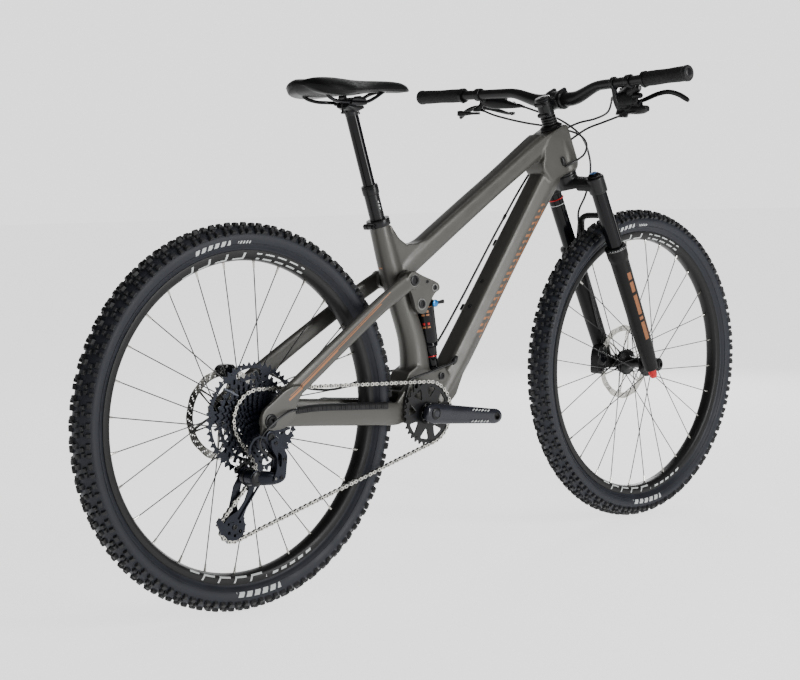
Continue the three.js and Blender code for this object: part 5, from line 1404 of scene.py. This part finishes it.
def thumb_controls():
    """Shifter body hung below the bar, and the thumb paddles of shifter and remote."""
    hub = shifter_hub()
    pod = Shape()
    pod.rod(bar_point(-1, SHIFTER_Y - 5), bar_point(-1, SHIFTER_Y + 5), 14.6, segments=36)
    pod.sweep(BLADE, [
        (hub.x - 30, -SHIFTER_Y, hub.z + 49, 5, 6), (hub.x - 22, -SHIFTER_Y, hub.z + 22, 6, 7),
        (hub.x - 4, -SHIFTER_Y, hub.z + 4, 11, 7)], SIDE, 5)
    pod.sweep(BLADE, [
        (hub.x - 16, -SHIFTER_Y + 3, hub.z + 24, 7, 17), (hub.x - 13, -SHIFTER_Y - 18, hub.z + 26, 9, 19),
        (hub.x - 4, -SHIFTER_Y - 40, hub.z + 26, 10, 17)], FORWARD, 4)
    pod.rod(hub + UP * -5, hub + UP * 8, 17, 14, 40)
    pod.sweep(BLADE, [
        (hub.x + 2, -SHIFTER_Y - 10, hub.z + 4, 12, 8), (hub.x, -SHIFTER_Y - 34, hub.z + 3.5, 14, 10),
        (hub.x - 1, -SHIFTER_Y - 54, hub.z + 3.5, 13, 9.5), (hub.x, -SHIFTER_Y - 68, hub.z + 5, 8, 6.5)],
        FORWARD, 5)
    pod.rod(hub + Vector((8, 3, 1)), hub + Vector((20, 5, 1)), 5.6, 4.2, 24)
    piece("shifter_body", moulded(pod, 1.2, 4, [bar_bore(-1, SHIFTER_Y)]), "plastic", "steering",
          ("shifter_pod",), crease=MOULDED_CREASE)
    cap = Shape()
    cap.turned(hub + UP * 7.4, UP, [(12.4, 0), (12.4, 1.2), (11, 2.4), (5, 2.9), (4.6, 2.2)], 36)
    cap.bolt(bar_point(-1, SHIFTER_Y) + Vector((15, 0, -2)), FORWARD, 3.2, 2.4)
    # pivot barrels, a stepped side cover and its screws on the hanging block
    for back, across, rise, half, radius in ((-6, -20, 34, 9, 6.5), (-8, -42, 14, 12, 7.5),
                                             (-19, -54, 32, 10, 6.0)):
        spot = hub + Vector((back, across, rise))
        cap.rod(spot - SIDE * half, spot + SIDE * half, radius, segments=24)
        cap.ring(spot - SIDE * (half + 0.8), -SIDE, radius * 0.5, radius * 0.9, 1.6, 24)
    for across, rise in ((-24, 22), (-40, 33), (-50, 20), (-30, 5)):
        spot = hub + Vector((-8, across, rise))
        cap.bolt(spot, Vector((-0.8, -0.6, 0.1)), 3.6, 4.0)
    cap.sweep(BLADE, [(hub.x - 8, hub.y - 14, hub.z + 14, 4, 9), (hub.x - 9, hub.y - 30, hub.z + 18, 5, 13),
                      (hub.x - 13, hub.y - 50, hub.z + 22, 4, 10)], FORWARD, 4)
    piece("shifter_cover", cap, "black", "steering")
    widths = (4, 5, 6.2, 8.6, 7.4)
    heights = (2.6, 3.4, 5.0, 7.0, 5.6)
    for name, body, centre, radius, reach in (
            ("shifter_thumb_paddle", "shifter_lever", hub, 9,
             ((0, 0), (-8, -10), (-16, -20), (-26, -28), (-33, -31))),
            ("dropper_thumb_paddle", "dropper_lever", remote_hub(), 8,
             ((0, 0), (-5, 12), (-10, 24), (-17, 36), (-23, 43)))):
        paddle = Shape()
        paddle.rod(centre + UP * -11, centre + UP * -5.4, radius, segments=32)
        paddle.sweep(round_section(16, 3.0), [
            (centre.x + dx, centre.y + dy, centre.z - 8 + 0.4 * k, w * 0.7, h)
            for k, ((dx, dy), w, h) in enumerate(zip(reach, widths, heights))], FORWARD, 4)
        end = Vector((*reach[-1], 0))
        across = Vector((end.y, -end.x, 0)).normalized()
        for k in range(4):
            share = 0.62 + 0.1 * k
            spot = centre + Vector((end.x * share, end.y * share, -9.7))
            paddle.block(spot, end.normalized(), across, -UP, (1.4, 9, 0.9))
        piece(name, paddle, "plastic", body, (body,), bevel=0.4)


# ---------------------------------------------------------------- brake calipers
def calipers():
    """Front and rear brake calipers, each slotted for its disc."""
    leg_clear = Shape().rod(on_leg(-12, 1), on_leg(140, 1), 20.8, 22.8, 40)
    for name, body, centre, outline, y0, y1, rotor_y, clear, bolts in (
            ("front_brake_caliper", "fork_lowers", FRONT_AXLE,
             [(484, 352), (505, 348), (516, 362), (524, 405), (515, 421), (495, 418), (487, 400)],
             29.6, 58, FRONT_ROTOR_Y, [leg_clear], ((503, 356), (508, 412))),
            ("rear_brake_caliper", "swingarm", REAR_AXLE,
             [(-607, 449), (-600, 444), (-574, 445), (-567, 450), (-567, 461), (-574, 468), (-599, 468),
              (-607, 461)],
             46, 70, REAR_ROTOR_Y, [], ((-602, 455), (-571, 457)))):
        block = Shape()
        rounded = soft_corners(outline, 0.24, 3)
        block.plate([rounded], y0 + 3, y1 - 3)
        middle = Vector((sum(p[0] for p in outline) / len(outline), 0,
                         sum(p[1] for p in outline) / len(outline)))
        block.pin(middle, y0, y1, 13 if centre == REAR_AXLE else 15, 40)
        disc_way = Shape().pin(centre, rotor_y - 2.2, rotor_y + 2.2, ROTOR_RADIUS + 3, 72)
        piece(f"{name}_body", moulded(block, 1.3, 4, [disc_way, *clear]), "black", body, (name,),
              crease=MOULDED_CREASE)
        detail = Shape()
        for x, z in bolts:
            for side, y in ((-1, y0 + 3), (1, y1 - 3)):
                detail.bolt(Vector((x, y - side * 0.4, z)), SIDE * side, 4.4, 3.2)
        detail.paint(1)
        for side, y in ((-1, y0), (1, y1)):
            detail.turned(at(middle, y - side * 0.4), SIDE * side,
                          [(12.5, 0), (12.5, 0.8), (11, 1.4), (6, 1.4), (5, 0.6)], 32)
        piece(f"{name}_hardware", detail, ["dull_steel", "gloss"], body)


# ---------------------------------------------------------------- crank, chainring and cassette
def tooth_radius(teeth):
    """Radius on which the chain's pins lie round a toothed wheel."""
    return CHAIN_PITCH / (2 * math.sin(math.pi / teeth))


def toothed_outline(teeth, centre, tip=2.4, root=-3.6, phase=0.0):
    """Outline (x, z) of a toothed wheel: tip and root are heights over the pins' radius."""
    radius = tooth_radius(teeth)
    half = math.pi / teeth
    outline = []
    for k in range(teeth):
        middle = phase + 2 * math.pi * k / teeth
        for share, height in ((-0.98, root), (-0.66, root + 0.5), (-0.36, -0.4), (-0.16, tip), (0.16, tip),
                              (0.36, -0.4), (0.66, root + 0.5)):
            angle = middle + share * half
            outline.append((centre.x + (radius + height) * math.cos(angle),
                            centre.z + (radius + height) * math.sin(angle)))
    return outline


def window(centre, inner, outer, start, end, steps=5):
    """Rounded ring-sector hole."""
    corner = 0.12
    span = end - start
    bevel = (outer - inner) * 0.2
    shares = [corner + (1 - 2 * corner) * k / steps for k in range(steps + 1)]
    points = [around(centre, outer, start + span * share) for share in shares]
    points += [around(centre, outer - bevel, end), around(centre, inner + bevel, end)]
    points += [around(centre, inner, end - span * share) for share in shares]
    points += [around(centre, inner + bevel, start), around(centre, outer - bevel, start)]
    return [(p.x, p.z) for p in points]


def crank():
    """Both arms with their fittings, and the chainring."""
    way = Vector((math.cos(CRANK_DROOP), 0, -math.sin(CRANK_DROOP)))
    for name, side in (("right", -1), ("left", 1)):
        along = way * -side
        arm = Shape()
        stations = [(-24, 70, 5.5, 8), (-19, 70.2, 8, 16), (0, 70.6, 9, 21), (28, 72, 9, 20.5),
                    (90, 77.4, 8.2, 18.5), (150, 81.8, 7.4, 16.5), (170, 82.6, 7.2, 16.2),
                    (181, 83, 6.4, 12.5), (187, 83, 5, 6.5)]
        arm.sweep(BLADE, [(*(at(BB, side * y) + along * d), w, h) for d, y, w, h in stations], SIDE, 6)
        eye = BB + along * CRANK_LENGTH
        bore = Shape().pin(eye, side * 60, side * 100, 7, 32)
        centre_bore = Shape().pin(BB, side * 50, side * 63.4, 30, 40)
        cutters = [bore, centre_bore] if side > 0 else [bore]
        piece(f"crank_arm_{name}_forging", moulded(arm, 1.4, 4, cutters), "navy_gloss", "crank",
              (f"crank_arm_{name}",), crease=MOULDED_CREASE)
        detail = Shape()
        detail.paint(1)
        detail.ring(at(eye, side * 74.5), SIDE * side, 6.9, 8.6, 15.8, 32)
        detail.turned(at(BB, side * 78.0), SIDE * side, [(12.4, 0), (12.4, 2.0), (11.2, 3.0), (9.2, 3.2),
                                                         (8.6, 1.6), (5.2, 1.6), (5.0, 0.4)], 40)
        if side < 0:
            detail.pin(BB, -70, 63.2, 14.2, 40)
        detail.paint(2)
        lift = Vector((-along.z, 0, along.x))
        slanted = (along + lift * 0.5).normalized()
        for edge in (-1, 1):
            for k in range(6):
                spot = at(BB, side * 87.6) + along * (98 + 9.0 * k) + lift * (edge * (12.2 - 0.2 * k))
                detail.block(spot, slanted, lift, SIDE * side, (6.4, 2.2 + 1.4 * (k % 2), 1.6))
        piece(f"crank_arm_{name}_fittings", detail, ["dull_steel", "black", "pale"], "crank")

    ring = Shape()
    holes = [circle(BB, 14.6, 40)]
    for k in range(8):
        start = 2 * math.pi * k / 8 + 0.2
        a = around(BB, 55.5, start + 0.13)
        b = around(BB, 55.5, start + 0.60)
        c = around(BB, 30.0, start + 0.42 if k % 2 else start + 0.31)
        holes.append(soft_corners([(a.x, a.z), (b.x, b.z), (c.x, c.z)], 0.24, 3))
    ring.plate([toothed_outline(RING_TEETH, BB), *holes], RING_Y - 1.4, RING_Y + 1.4)
    ring.ring(at(BB, RING_Y - 6), SIDE, 14.6, 23, 11.4, 48)
    ring.paint(1)
    for k in range(8):
        angle = 2 * math.pi * (k + 0.5) / 8 + 0.2
        ring.bolt(around(BB, 18.8, angle, RING_Y - 5.6), -SIDE, 2.6, 1.4)
    piece("chainring_narrow_wide", ring, ["black", "dull_steel"], "crank", ("chainring",), bevel=0.35)


def cassette():
    """Twelve cogs, the larger ones windowed and held by a spider, and the lock ring."""
    cogs = Shape()
    for index, teeth in enumerate(COG_TEETH):
        y = COG_OUTER_Y + COG_PITCH * index
        radius = tooth_radius(teeth)
        loops = [toothed_outline(teeth, REAR_AXLE, 2.2 if index != ENGAGED_COG else 1.6, -3.8,
                                 0.07 * index)]
        if index < 5:
            loops.append(circle(REAR_AXLE, 9.8, 24))
        else:
            arms = 6 if index < 9 else 7
            inner = max(16.0, radius - 30) if index > 7 else 15.0
            foot = inner + 4.5
            loops.append(circle(REAR_AXLE, inner, 36))
            rim_in = radius - 9.5
            for k in range(arms):
                start = 2 * math.pi * k / arms + 0.11 * index
                span = 2 * math.pi / arms
                if rim_in - foot > 5:
                    loops.append(window(REAR_AXLE, foot, rim_in, start + span * 0.14, start + span * 0.86))
            if radius > 60:
                for k in range(teeth // 2):
                    start = 2 * math.pi * (k + 0.5) / (teeth // 2)
                    spot = around(REAR_AXLE, radius - 6.4, start)
                    loops.append(circle(spot, 1.5, 8))
        cogs.plate(loops, y - 0.85, y + 0.85)
        if index < 7:
            cogs.ring(at(REAR_AXLE, y + 0.8), SIDE, 9.8, radius - 8 if index > 1 else radius - 5.5,
                      COG_PITCH - 1.6, 36)
    # spider arms carry the large cogs
    for k in range(7):
        angle = 2 * math.pi * k / 7 + 0.3
        rows = []
        for i in range(6):
            share = i / 5
            place = around(REAR_AXLE, 20 + 70 * share, angle + 0.28 * share, -46 + 14.5 * share)
            rows.append((*place, 3.4, 2.6))
        cogs.sweep(round_section(8, 4), rows, SIDE)
    cogs.ring(at(REAR_AXLE, -48), SIDE, 9.8, 22, 18.6, 40)
    cogs.paint(1)
    cogs.turned(at(REAR_AXLE, COG_OUTER_Y + 0.4), -SIDE,
                [(9.8, 0), (14.6, 0), (14.8, 1.6), (14.0, 2.4), (11.6, 2.6), (11.4, 1.0),
                                          (9.8, 1.0)], 40, loop=True)
    piece("cassette_twelve_cogs", cogs, ["navy", "dull_steel"], "cassette", ("cassette",))


# ---------------------------------------------------------------- rear derailleur
LINK_OUTLINE = [
    (-606, 338), (-592, 343), (-582, 334), (-567, 306), (-573, 264), (-590, 256), (-603, 262), (-594, 282),
    (-591, 302), (-603, 322)]
FIN_OUTLINE = [
    (-652, 316), (-650, 334), (-641, 345), (-626, 350), (-610, 345), (-594, 322), (-586, 304), (-591, 304),
    (-599, 320), (-613, 341), (-627, 345.5), (-638, 341), (-646, 332), (-648, 316)]


def derailleur():
    """Hanger knuckle, two link plates with their pins, and the lower knuckle that holds the cage."""
    body = Shape()
    body.pin(CAGE_PIVOT, -88, ENGAGED_Y - 7.4, 15.5, 48)
    body.sweep(BLADE, [
        (-632, -75, 268, 8, 14), (-612, -86, 267, 10, 13.5), (-594, -92, 265.5, 10.5, 12.5),
        (-580, -94, 267, 9.5, 11), (-574, -95, 270, 7, 8)], SIDE, 4)
    body.plate([soft_corners(LINK_OUTLINE, 0.14, 2)], -90, -84)
    hollow = Shape()
    hollow.pin(CAGE_PIVOT, ENGAGED_Y - 13, ENGAGED_Y - 3, 8.6, 32)
    piece("derailleur_parallelogram", moulded(body, 1.2, 3, [hollow]), "navy", "swingarm",
          ("derailleur_body",), crease=MOULDED_CREASE)

    link = Shape()
    window_rows = [(-590, 316), (-580, 308), (-583, 284), (-590, 292)]
    link.plate([soft_corners(LINK_OUTLINE, 0.14, 2), soft_corners(window_rows, 0.3, 2)], -104, -98)
    link.plate([soft_corners(FIN_OUTLINE, 0.2, 2)], -97.4, -94)
    for x, z in ((-584, 266), (-575, 300), (-594, 332), (-597, 266)):
        link.pin(Vector((x, 0, z)), -104.6, -83, 4.6, 24)
    piece("derailleur_outer_link", link, "navy", "swingarm", bevel=0.9)

    upper = Shape()
    upper.pin(HANGER, -98, -84, 13, 40)
    upper.sweep(BLADE, [(-600, -91, 343, 6, 12), (-590, -92, 333, 6.5, 11), (-583, -93, 322, 5, 9)],
                SIDE, 4)
    piece("derailleur_upper_knuckle", moulded(upper, 1.2, 3), "navy", "swingarm", crease=MOULDED_CREASE)

    detail = Shape()
    detail.pin(HANGER, -84, -75, 5, 24)
    detail.turned(at(HANGER, -97.6), -SIDE, [(8.2, 0), (8.2, 1.4), (7.2, 2.2), (4.4, 2.2), (4.0, 0.8)], 32)
    detail.turned(at(CAGE_PIVOT, -87.8), -SIDE, [(13.4, 0), (13.4, 1.0), (12.2, 2.0), (7.0, 2.2),
                                                 (6.6, 1.2), (3.4, 1.2)], 40)
    detail.ring(at(CAGE_PIVOT, -66), SIDE, 15.0, 17.0, 6.0, 48)
    for x, z in ((-584, 266), (-575, 300), (-594, 332)):
        detail.bolt(Vector((x, -104.2, z)), -SIDE, 3.6, 2.0)
    barrel = Vector((-604, -92, 312))
    detail.rod(barrel, barrel + Vector((12, -2, -10)), 4.0, 3.4, 20)
    detail.paint(1)
    detail.bolt(Vector((-597, -104.2, 266)), -SIDE, 2.6, 1.6)
    piece("derailleur_bolts_and_barrel", detail, ["black", "dull_steel"], "swingarm")


def disc_arc(radius, start, end, steps=8):
    """Points round the tension pulley, from one angle to another in degrees."""
    turns = [math.radians(start + (end - start) * k / steps) for k in range(steps + 1)]
    return [(p.x, p.z) for p in (around(TENSION_PULLEY, radius, turn) for turn in turns)]


def cage_and_pulleys():
    """Cage plates with a second leg, and the two toothed pulleys."""
    cage = Shape()
    outer_line = [(-643, 274), (-638, 284), (-624, 288), (-611, 281), (-604, 262), (-606, 246), (-616, 224),
                  (-628, 206), (-634, 194)]
    outer_line += disc_arc(25, 25, -150)
    outer_line += [(-686, 166), (-697, 192), (-690, 200), (-678, 186)]
    outer_line += disc_arc(25, 150, 118, 2)
    outer_line += [(-646, 207), (-632, 222), (-621, 244), (-622, 256)]
    inner_line = [(-636, 268), (-634, 286), (-622, 291), (-612, 282), (-614, 268), (-630, 252), (-641, 212),
                  (-638, 198)]
    inner_line += disc_arc(24, 42, -200, 12)
    inner_line += [(-662, 206), (-648, 252)]
    holes = [circle(around(TENSION_PULLEY, 15.5, math.radians(turn)), size, 12)
             for turn, size in ((-35, 3.6), (-90, 3.0), (-145, 3.4), (150, 2.4), (35, 2.6))]
    slot = soft_corners([(-613, 250), (-609, 256), (-616, 262), (-621, 258)], 0.3, 2)
    cage.plate([outer_line, *holes, slot], ENGAGED_Y - 6.5, ENGAGED_Y - 4.5)
    cage.plate([inner_line, *holes[:3]], ENGAGED_Y + 4.2, ENGAGED_Y + 5.6)
    for place in (GUIDE_PULLEY, TENSION_PULLEY):
        cage.pin(place, ENGAGED_Y - 6, ENGAGED_Y + 5, 4, 24)
    cage.pin(CAGE_PIVOT, ENGAGED_Y - 12, ENGAGED_Y - 5.5, 8, 32)
    # second leg beside the cage's arm, and the stop across the tension pulley's wing
    leg_y = ENGAGED_Y - 7.5
    cage.hose([(-646, leg_y, 190), (-630, leg_y, 210), (-606, leg_y, 238), (-597, leg_y, 250),
               (-606, leg_y, 262)], 2.3)
    cage.rod(Vector((-689, ENGAGED_Y - 5, 184)), Vector((-689, ENGAGED_Y + 5, 184)), 2.4, segments=16)
    cage.paint(1)
    for place in (GUIDE_PULLEY, TENSION_PULLEY):
        cage.bolt(at(place, ENGAGED_Y - 6.2), -SIDE, 5.4, 2.0)
        cage.bolt(at(place, ENGAGED_Y + 5.3), SIDE, 5.0, 1.6)
    piece("derailleur_cage_plates", cage, ["navy", "black"], "derailleur_cage", ("derailleur_cage",),
          bevel=0.4)

    for name, centre, teeth, tip, root in (
            ("guide", GUIDE_PULLEY, 12, -4.4, -8), ("tension", TENSION_PULLEY, 14, 2.2, -3.6)):
        wheel = Shape()
        reach = tooth_radius(teeth)
        loops = [toothed_outline(teeth, centre, tip, root), circle(centre, 4.4, 24)]
        for k in range(5):
            start = 2 * math.pi * k / 5
            loops.append(window(centre, 9.6, reach + root - 3.6, start + 0.2, start + 1.05, 3))
        wheel.plate(loops, ENGAGED_Y - 1.1, ENGAGED_Y + 1.1)
        wheel.ring(at(centre, ENGAGED_Y - 3.4), SIDE, 4.5, 8.4, 6.8, 32)
        piece(f"{name}_pulley_wheel", wheel, "plastic", f"{name}_pulley", (f"{name}_pulley",), bevel=0.2)


# ---------------------------------------------------------------- chain
def chain_path():
    """Closed line of the roller centres: points round each sprocket, with straight runs between."""
    sprockets = [
        (REAR_AXLE, tooth_radius(COG_TEETH[ENGAGED_COG]), ENGAGED_Y, 1),
        (BB, tooth_radius(RING_TEETH), RING_Y, 1),
        (TENSION_PULLEY, tooth_radius(14), ENGAGED_Y, 1), (GUIDE_PULLEY, tooth_radius(12), ENGAGED_Y, -1)]
    headings = []
    for k, (centre, radius, _, sense) in enumerate(sprockets):
        target, target_radius, _, target_sense = sprockets[(k + 1) % 4]
        dx, dz = target.x - centre.x, target.z - centre.z
        offset = sense * radius - target_sense * target_radius
        run = math.sqrt(dx * dx + dz * dz - offset * offset)
        headings.append(math.atan2(dz, dx) - math.atan2(offset, run))
    points = []
    for k, (centre, radius, y, sense) in enumerate(sprockets):
        start = headings[k - 1]
        turn = headings[k] - start
        while sense * turn > 0:
            turn -= sense * 2 * math.pi
        for i in range(61):
            heading = start + turn * i / 60
            points.append(Vector((centre.x - sense * radius * math.sin(heading), y,
                                  centre.z + sense * radius * math.cos(heading))))
    return points


def chain():
    """Links and rollers along the closed line, cut in two nodes between the wheel and the crank."""
    line = chain_path()
    line.append(line[0])
    lengths = [0.0]
    for a, b in zip(line, line[1:]):
        lengths.append(lengths[-1] + (b - a).length)
    total = lengths[-1]
    count = 2 * round(total / CHAIN_PITCH / 2)
    middle_x = (BB.x + REAR_AXLE.x) / 2
    pins = []
    k = 0
    for i in range(count):
        target = total * i / count
        while lengths[k + 1] < target:
            k += 1
        share = (target - lengths[k]) / (lengths[k + 1] - lengths[k])
        pins.append(line[k].lerp(line[k + 1], share))
    front, rear = Shape(), Shape()
    for i, a in enumerate(pins):
        b = pins[(i + 1) % count]
        middle = a.lerp(b, 0.5)
        ring_side = (middle - BB).length < (middle - REAR_AXLE).length
        link = front if middle.x > middle_x and ring_side else rear
        way = (b - a).normalized()
        rise = SIDE.cross(way)
        outer = i % 2 == 0
        link.paint(0 if outer else 1)
        for side in (-1, 1):
            inner_y = side * (2.75 if outer else 1.75)
            outline = []
            for centre, start in ((a, math.pi / 2), (b, -math.pi / 2)):
                for j in range(7):
                    angle = start + math.pi * j / 6
                    outline.append(centre + (way * math.cos(angle) + rise * math.sin(angle)) * 3.8)
            # the waist between the two round ends
            outline.insert(7, middle - rise * 1.9)
            outline.append(middle + rise * 1.9)
            link.rings([[point + SIDE * y for point in outline] for y in (inner_y, inner_y + side * 0.9)])
            if outer:
                # painted shade: a black patch on each outer plate's waist stands in for the shade in a slot
                # in the plate
                link.paint(2)
                link.block(middle + SIDE * (inner_y + side * 0.7), way, rise, SIDE * side, (3.6, 1.9, 0.35))
                link.paint(0)
        link.paint(1)
        link.rod(a - SIDE * 1.7, a + SIDE * 1.7, 3.6, segments=12, edge=0.2)
        # painted shade: the pins stand proud in black, standing in for the shade inside their hollow ends
        link.paint(2)
        link.rod(a - SIDE * 4.1, a + SIDE * 4.1, 1.9, segments=10, edge=0.3)
    # on the chain the black finish is only painted shade, in the plate slots and the hollow pin ends
    looks = ["steel", "dull_steel", "black"]
    piece("chain_over_chainring", front, looks,
          ("swingarm", "main_frame", Vector((middle_x, RING_Y, BB.z)) * MM,
           Vector((BB.x - 45, RING_Y, BB.z)) * MM),
          ("chain_front",))
    piece("chain_over_cassette", rear, looks,
          ("swingarm", "derailleur_cage", Vector((-600, ENGAGED_Y, 300)) * MM,
           Vector((-640, ENGAGED_Y, 200)) * MM),
          ("chain_rear",))


# ---------------------------------------------------------------- hoses and housings
def master_end(side):
    """Place where a brake master's hose leaves it."""
    clamp = bar_point(side, MASTER_Y)
    return (clamp.x + 50, side * (MASTER_Y - 88), clamp.z - 30)


def hose_piece(name, points, radius, body, stands_for=()):
    """Hose on a smooth line, with an end sleeve at its first point."""
    line = Shape()
    line.hose(points, radius, 10, 14)
    way = (Vector(points[1]) - Vector(points[0])).normalized()
    first = Vector(points[0])
    line.paint(1).rod(first - way * 3, first + way * 9, radius + 1.4, radius + 0.5, 20)
    piece(name, line, ["jacket", "black"], body, stands_for, crease=50)


def hoses():
    """Brake hoses and cable housings; those that cross a joint name the bodies on both sides of it, and
    stay where they are made.
    """
    turn_with_bar = ("steering", "main_frame", on_steer(580, 45) * MM, on_steer(580, -35) * MM)
    hose_piece("front_brake_hose_line", [
        master_end(1), (366, 100, 972), (395, 60, 952), (425, 25, 915), (446, 18, 866), (450, 20, 822),
        on_steer(432, 72, 27), on_steer(404, 44, 36), on_steer(370, 36, 41),
        on_steer(330, 26, 41.3), on_steer(240, 12, 41.5), on_steer(130, 2, 42),
        (512, 38, 448), (506, 34, 424)], HOSE_RADIUS,
        ("steering", "fork_lowers", on_steer(560, 20) * MM, on_steer(390, 20) * MM), ("front_brake_hose",))
    hose_piece("rear_brake_hose_at_head", [
        master_end(-1), (372, -100, 962), (389, -50, 950), (385, 0, 942), (372, 36, 925), (336, 50, 893),
        (300, 44, 862), (255, 33, 829), (208, 29, 782), (166, 28.5, 732)], HOSE_RADIUS, turn_with_bar,
        ("rear_brake_hose",))
    hose_piece("rear_brake_hose_to_caliper", [
        (168, 28.5, 734.5), (128, 28, 687), (72, 28, 616), (18, 28, 548), (-46, 34, 466), (-86, 45, 430),
        (-128, 55, 418), (-178, 58, 414), (-235, 62, 404), (-300, 62, 392), (-360, 62, 396),
        (-420, 60, 412), (-480, 58, 440), (-520, 57.5, 456),
        (-551, 57.5, 460)], HOSE_RADIUS, ("main_frame", "swingarm", Vector((-110, 50, 420)) * MM,
                                          Vector((-290, 60, 395)) * MM))
    hub = shifter_hub()
    hose_piece("shifter_housing_line", [
        (hub.x + 19, -SHIFTER_Y + 5, hub.z + 1), (366, -140, 951), (380, -80, 940), (382, -30, 928),
        (378, 14, 906), (352, 40, 880), (330, 41, 860), (316, 36.5, 850), (304, 31, 841)], HOSE_RADIUS,
        turn_with_bar,
        ("shifter_housing",))
    remote = remote_hub()
    hose_piece("dropper_housing_line", [
        (remote.x + 9.4, remote.y - 6, remote.z), (326, 200, 968), (356, 140, 950), (392, 70, 935),
        (410, 20, 918), (398, -14, 896), (364, -38, 872), (336, -42, 858), (320, -38.5, 850),
        (306, -31, 842)], HOSE_RADIUS,
        turn_with_bar, ("dropper_housing",))
    hose_piece("derailleur_housing_front_line", [
        (-53, -31.6, 436), (-66, -37, 432), (-86, -40, 428), (-112, -42, 424), (-142, -45.9, 419),
        (-168, -45.9, 415), (-196, -45.9, 408), (-206, -45.9, 390), (-214, -46.8, 366), (-218, -46.5, 350)],
        HOUSING_RADIUS,
        ("main_frame", "swingarm", Vector((-120, -43, 420)) * MM, Vector((-205, -46, 395)) * MM),
        ("derailleur_housing_front",))
    hose_piece("derailleur_housing_rear_line", [
        (-530, -84, 386), (-544, -90, 386), (-562, -95, 383), (-588, -98, 372), (-612, -97, 356),
        (-623, -94.5, 339), (-618, -92, 322),
        (-604, -92, 312)], HOUSING_RADIUS, "swingarm", ("derailleur_housing_rear",))


# ---------------------------------------------------------------- stage, light and camera
# the camera's place, heading and lens were solved from the photo
CAMERA_PLACE = Vector((-2302.3, -2316.4, 776.3))
CAMERA_YAW = math.radians(42.463)
CAMERA_PITCH = math.radians(-5.278)
CAMERA_ROLL = math.radians(-1.21)
CAMERA_LENS = 68.45
FLOOR_REACH = 60
FLOOR_GLOW = 1.61
ROOM_DIM = 0.2
ROOM_BRIGHT = 1.85
BRIGHT_WAY = (0.66, 0.72, -0.42)


def stage():
    """Glowing floor, a pale room and three softboxes."""
    mesh = bpy.data.meshes.new("floor")
    corners = [(x * FLOOR_REACH, y * FLOOR_REACH, 0) for x, y in ((-1, -1), (1, -1), (1, 1), (-1, 1))]
    mesh.from_pydata(corners, [], [(0, 1, 2, 3)])
    floor = bpy.data.objects.new("floor", mesh)
    SCENE.collection.objects.link(floor)
    material = bpy.data.materials.new("white_floor")
    material.use_nodes = True
    shader = material.node_tree.nodes["Principled BSDF"]
    shader.inputs["Base Color"].default_value = (0.5, 0.5, 0.5, 1)
    shader.inputs["Roughness"].default_value = 0.9
    shader.inputs["Specular IOR Level"].default_value = 0.0
    shader.inputs["Emission Color"].default_value = (1, 1, 1, 1)
    shader.inputs["Emission Strength"].default_value = FLOOR_GLOW
    mesh.materials.append(material)

    # a white room that dims overhead and behind the viewer
    world = bpy.data.worlds.new("white_studio")
    world.use_nodes = True
    tree = world.node_tree
    place = tree.nodes.new("ShaderNodeTexCoord")
    facing = tree.nodes.new("ShaderNodeVectorMath")
    facing.operation = "DOT_PRODUCT"
    facing.inputs[1].default_value = BRIGHT_WAY
    tree.links.new(place.outputs["Generated"], facing.inputs[0])
    glow = tree.nodes.new("ShaderNodeMapRange")
    glow.interpolation_type = "SMOOTHSTEP"
    for socket, value in (("From Min", 0.38), ("From Max", 0.84), ("To Min", ROOM_DIM),
                          ("To Max", ROOM_BRIGHT)):
        glow.inputs[socket].default_value = value
    tree.links.new(facing.outputs["Value"], glow.inputs["Value"])
    sky = tree.nodes["Background"]
    sky.inputs["Color"].default_value = (1, 1, 1, 1)
    tree.links.new(glow.outputs["Result"], sky.inputs["Strength"])
    SCENE.world = world

    def softbox(name, place, target, size, power):
        lamp = bpy.data.lights.new(name, "AREA")
        lamp.shape = "RECTANGLE"
        lamp.size, lamp.size_y = size
        lamp.energy = power
        thing = bpy.data.objects.new(name, lamp)
        thing.location = place
        thing.rotation_euler = (Vector(target) - Vector(place)).to_track_quat("-Z", "Y").to_euler()
        SCENE.collection.objects.link(thing)

    softbox("right_side", (0.9, -3.4, 1.5), (0, 0, 0.5), (0.9, 2.4), 140)
    softbox("overhead_strip", (0.1, -0.3, 3.0), (0, 0, 0.5), (2.6, 0.35), 8)
    softbox("front_left", (2.8, 1.6, 1.6), (0, 0, 0.6), (0.8, 1.8), 40)


def camera():
    """Camera solved from the photo: its heading, tilt and roll give its three axes."""
    yaw = CAMERA_YAW
    pitch = CAMERA_PITCH
    roll = CAMERA_ROLL
    ahead = Vector((math.sin(yaw) * math.cos(pitch), math.cos(yaw) * math.cos(pitch), math.sin(pitch)))
    level = Vector((math.cos(yaw), -math.sin(yaw), 0))
    lifted = level.cross(ahead)
    right = level * math.cos(roll) + lifted * math.sin(roll)
    above = -level * math.sin(roll) + lifted * math.cos(roll)
    lens = bpy.data.cameras.new("photo_camera")
    lens.lens = CAMERA_LENS
    lens.sensor_width = 36
    lens.sensor_fit = "HORIZONTAL"
    lens.clip_end = 300
    thing = bpy.data.objects.new("photo_camera", lens)
    turn = Matrix((right, above, -ahead)).transposed().to_4x4()
    turn.translation = CAMERA_PLACE * MM
    thing.matrix_world = turn
    SCENE.collection.objects.link(thing)
    SCENE.camera = thing


wheels()
front_triangle()
seatpost_and_saddle()
swingarm()
rocker()
shock()
fork_crown()
fork_lowers()
handlebar_and_stem()
grips()
brake_control("left", 1)
brake_control("right", -1)
thumb_controls()
calipers()
crank()
cassette()
derailleur()
cage_and_pulleys()
chain()
hoses()
stage()
camera()
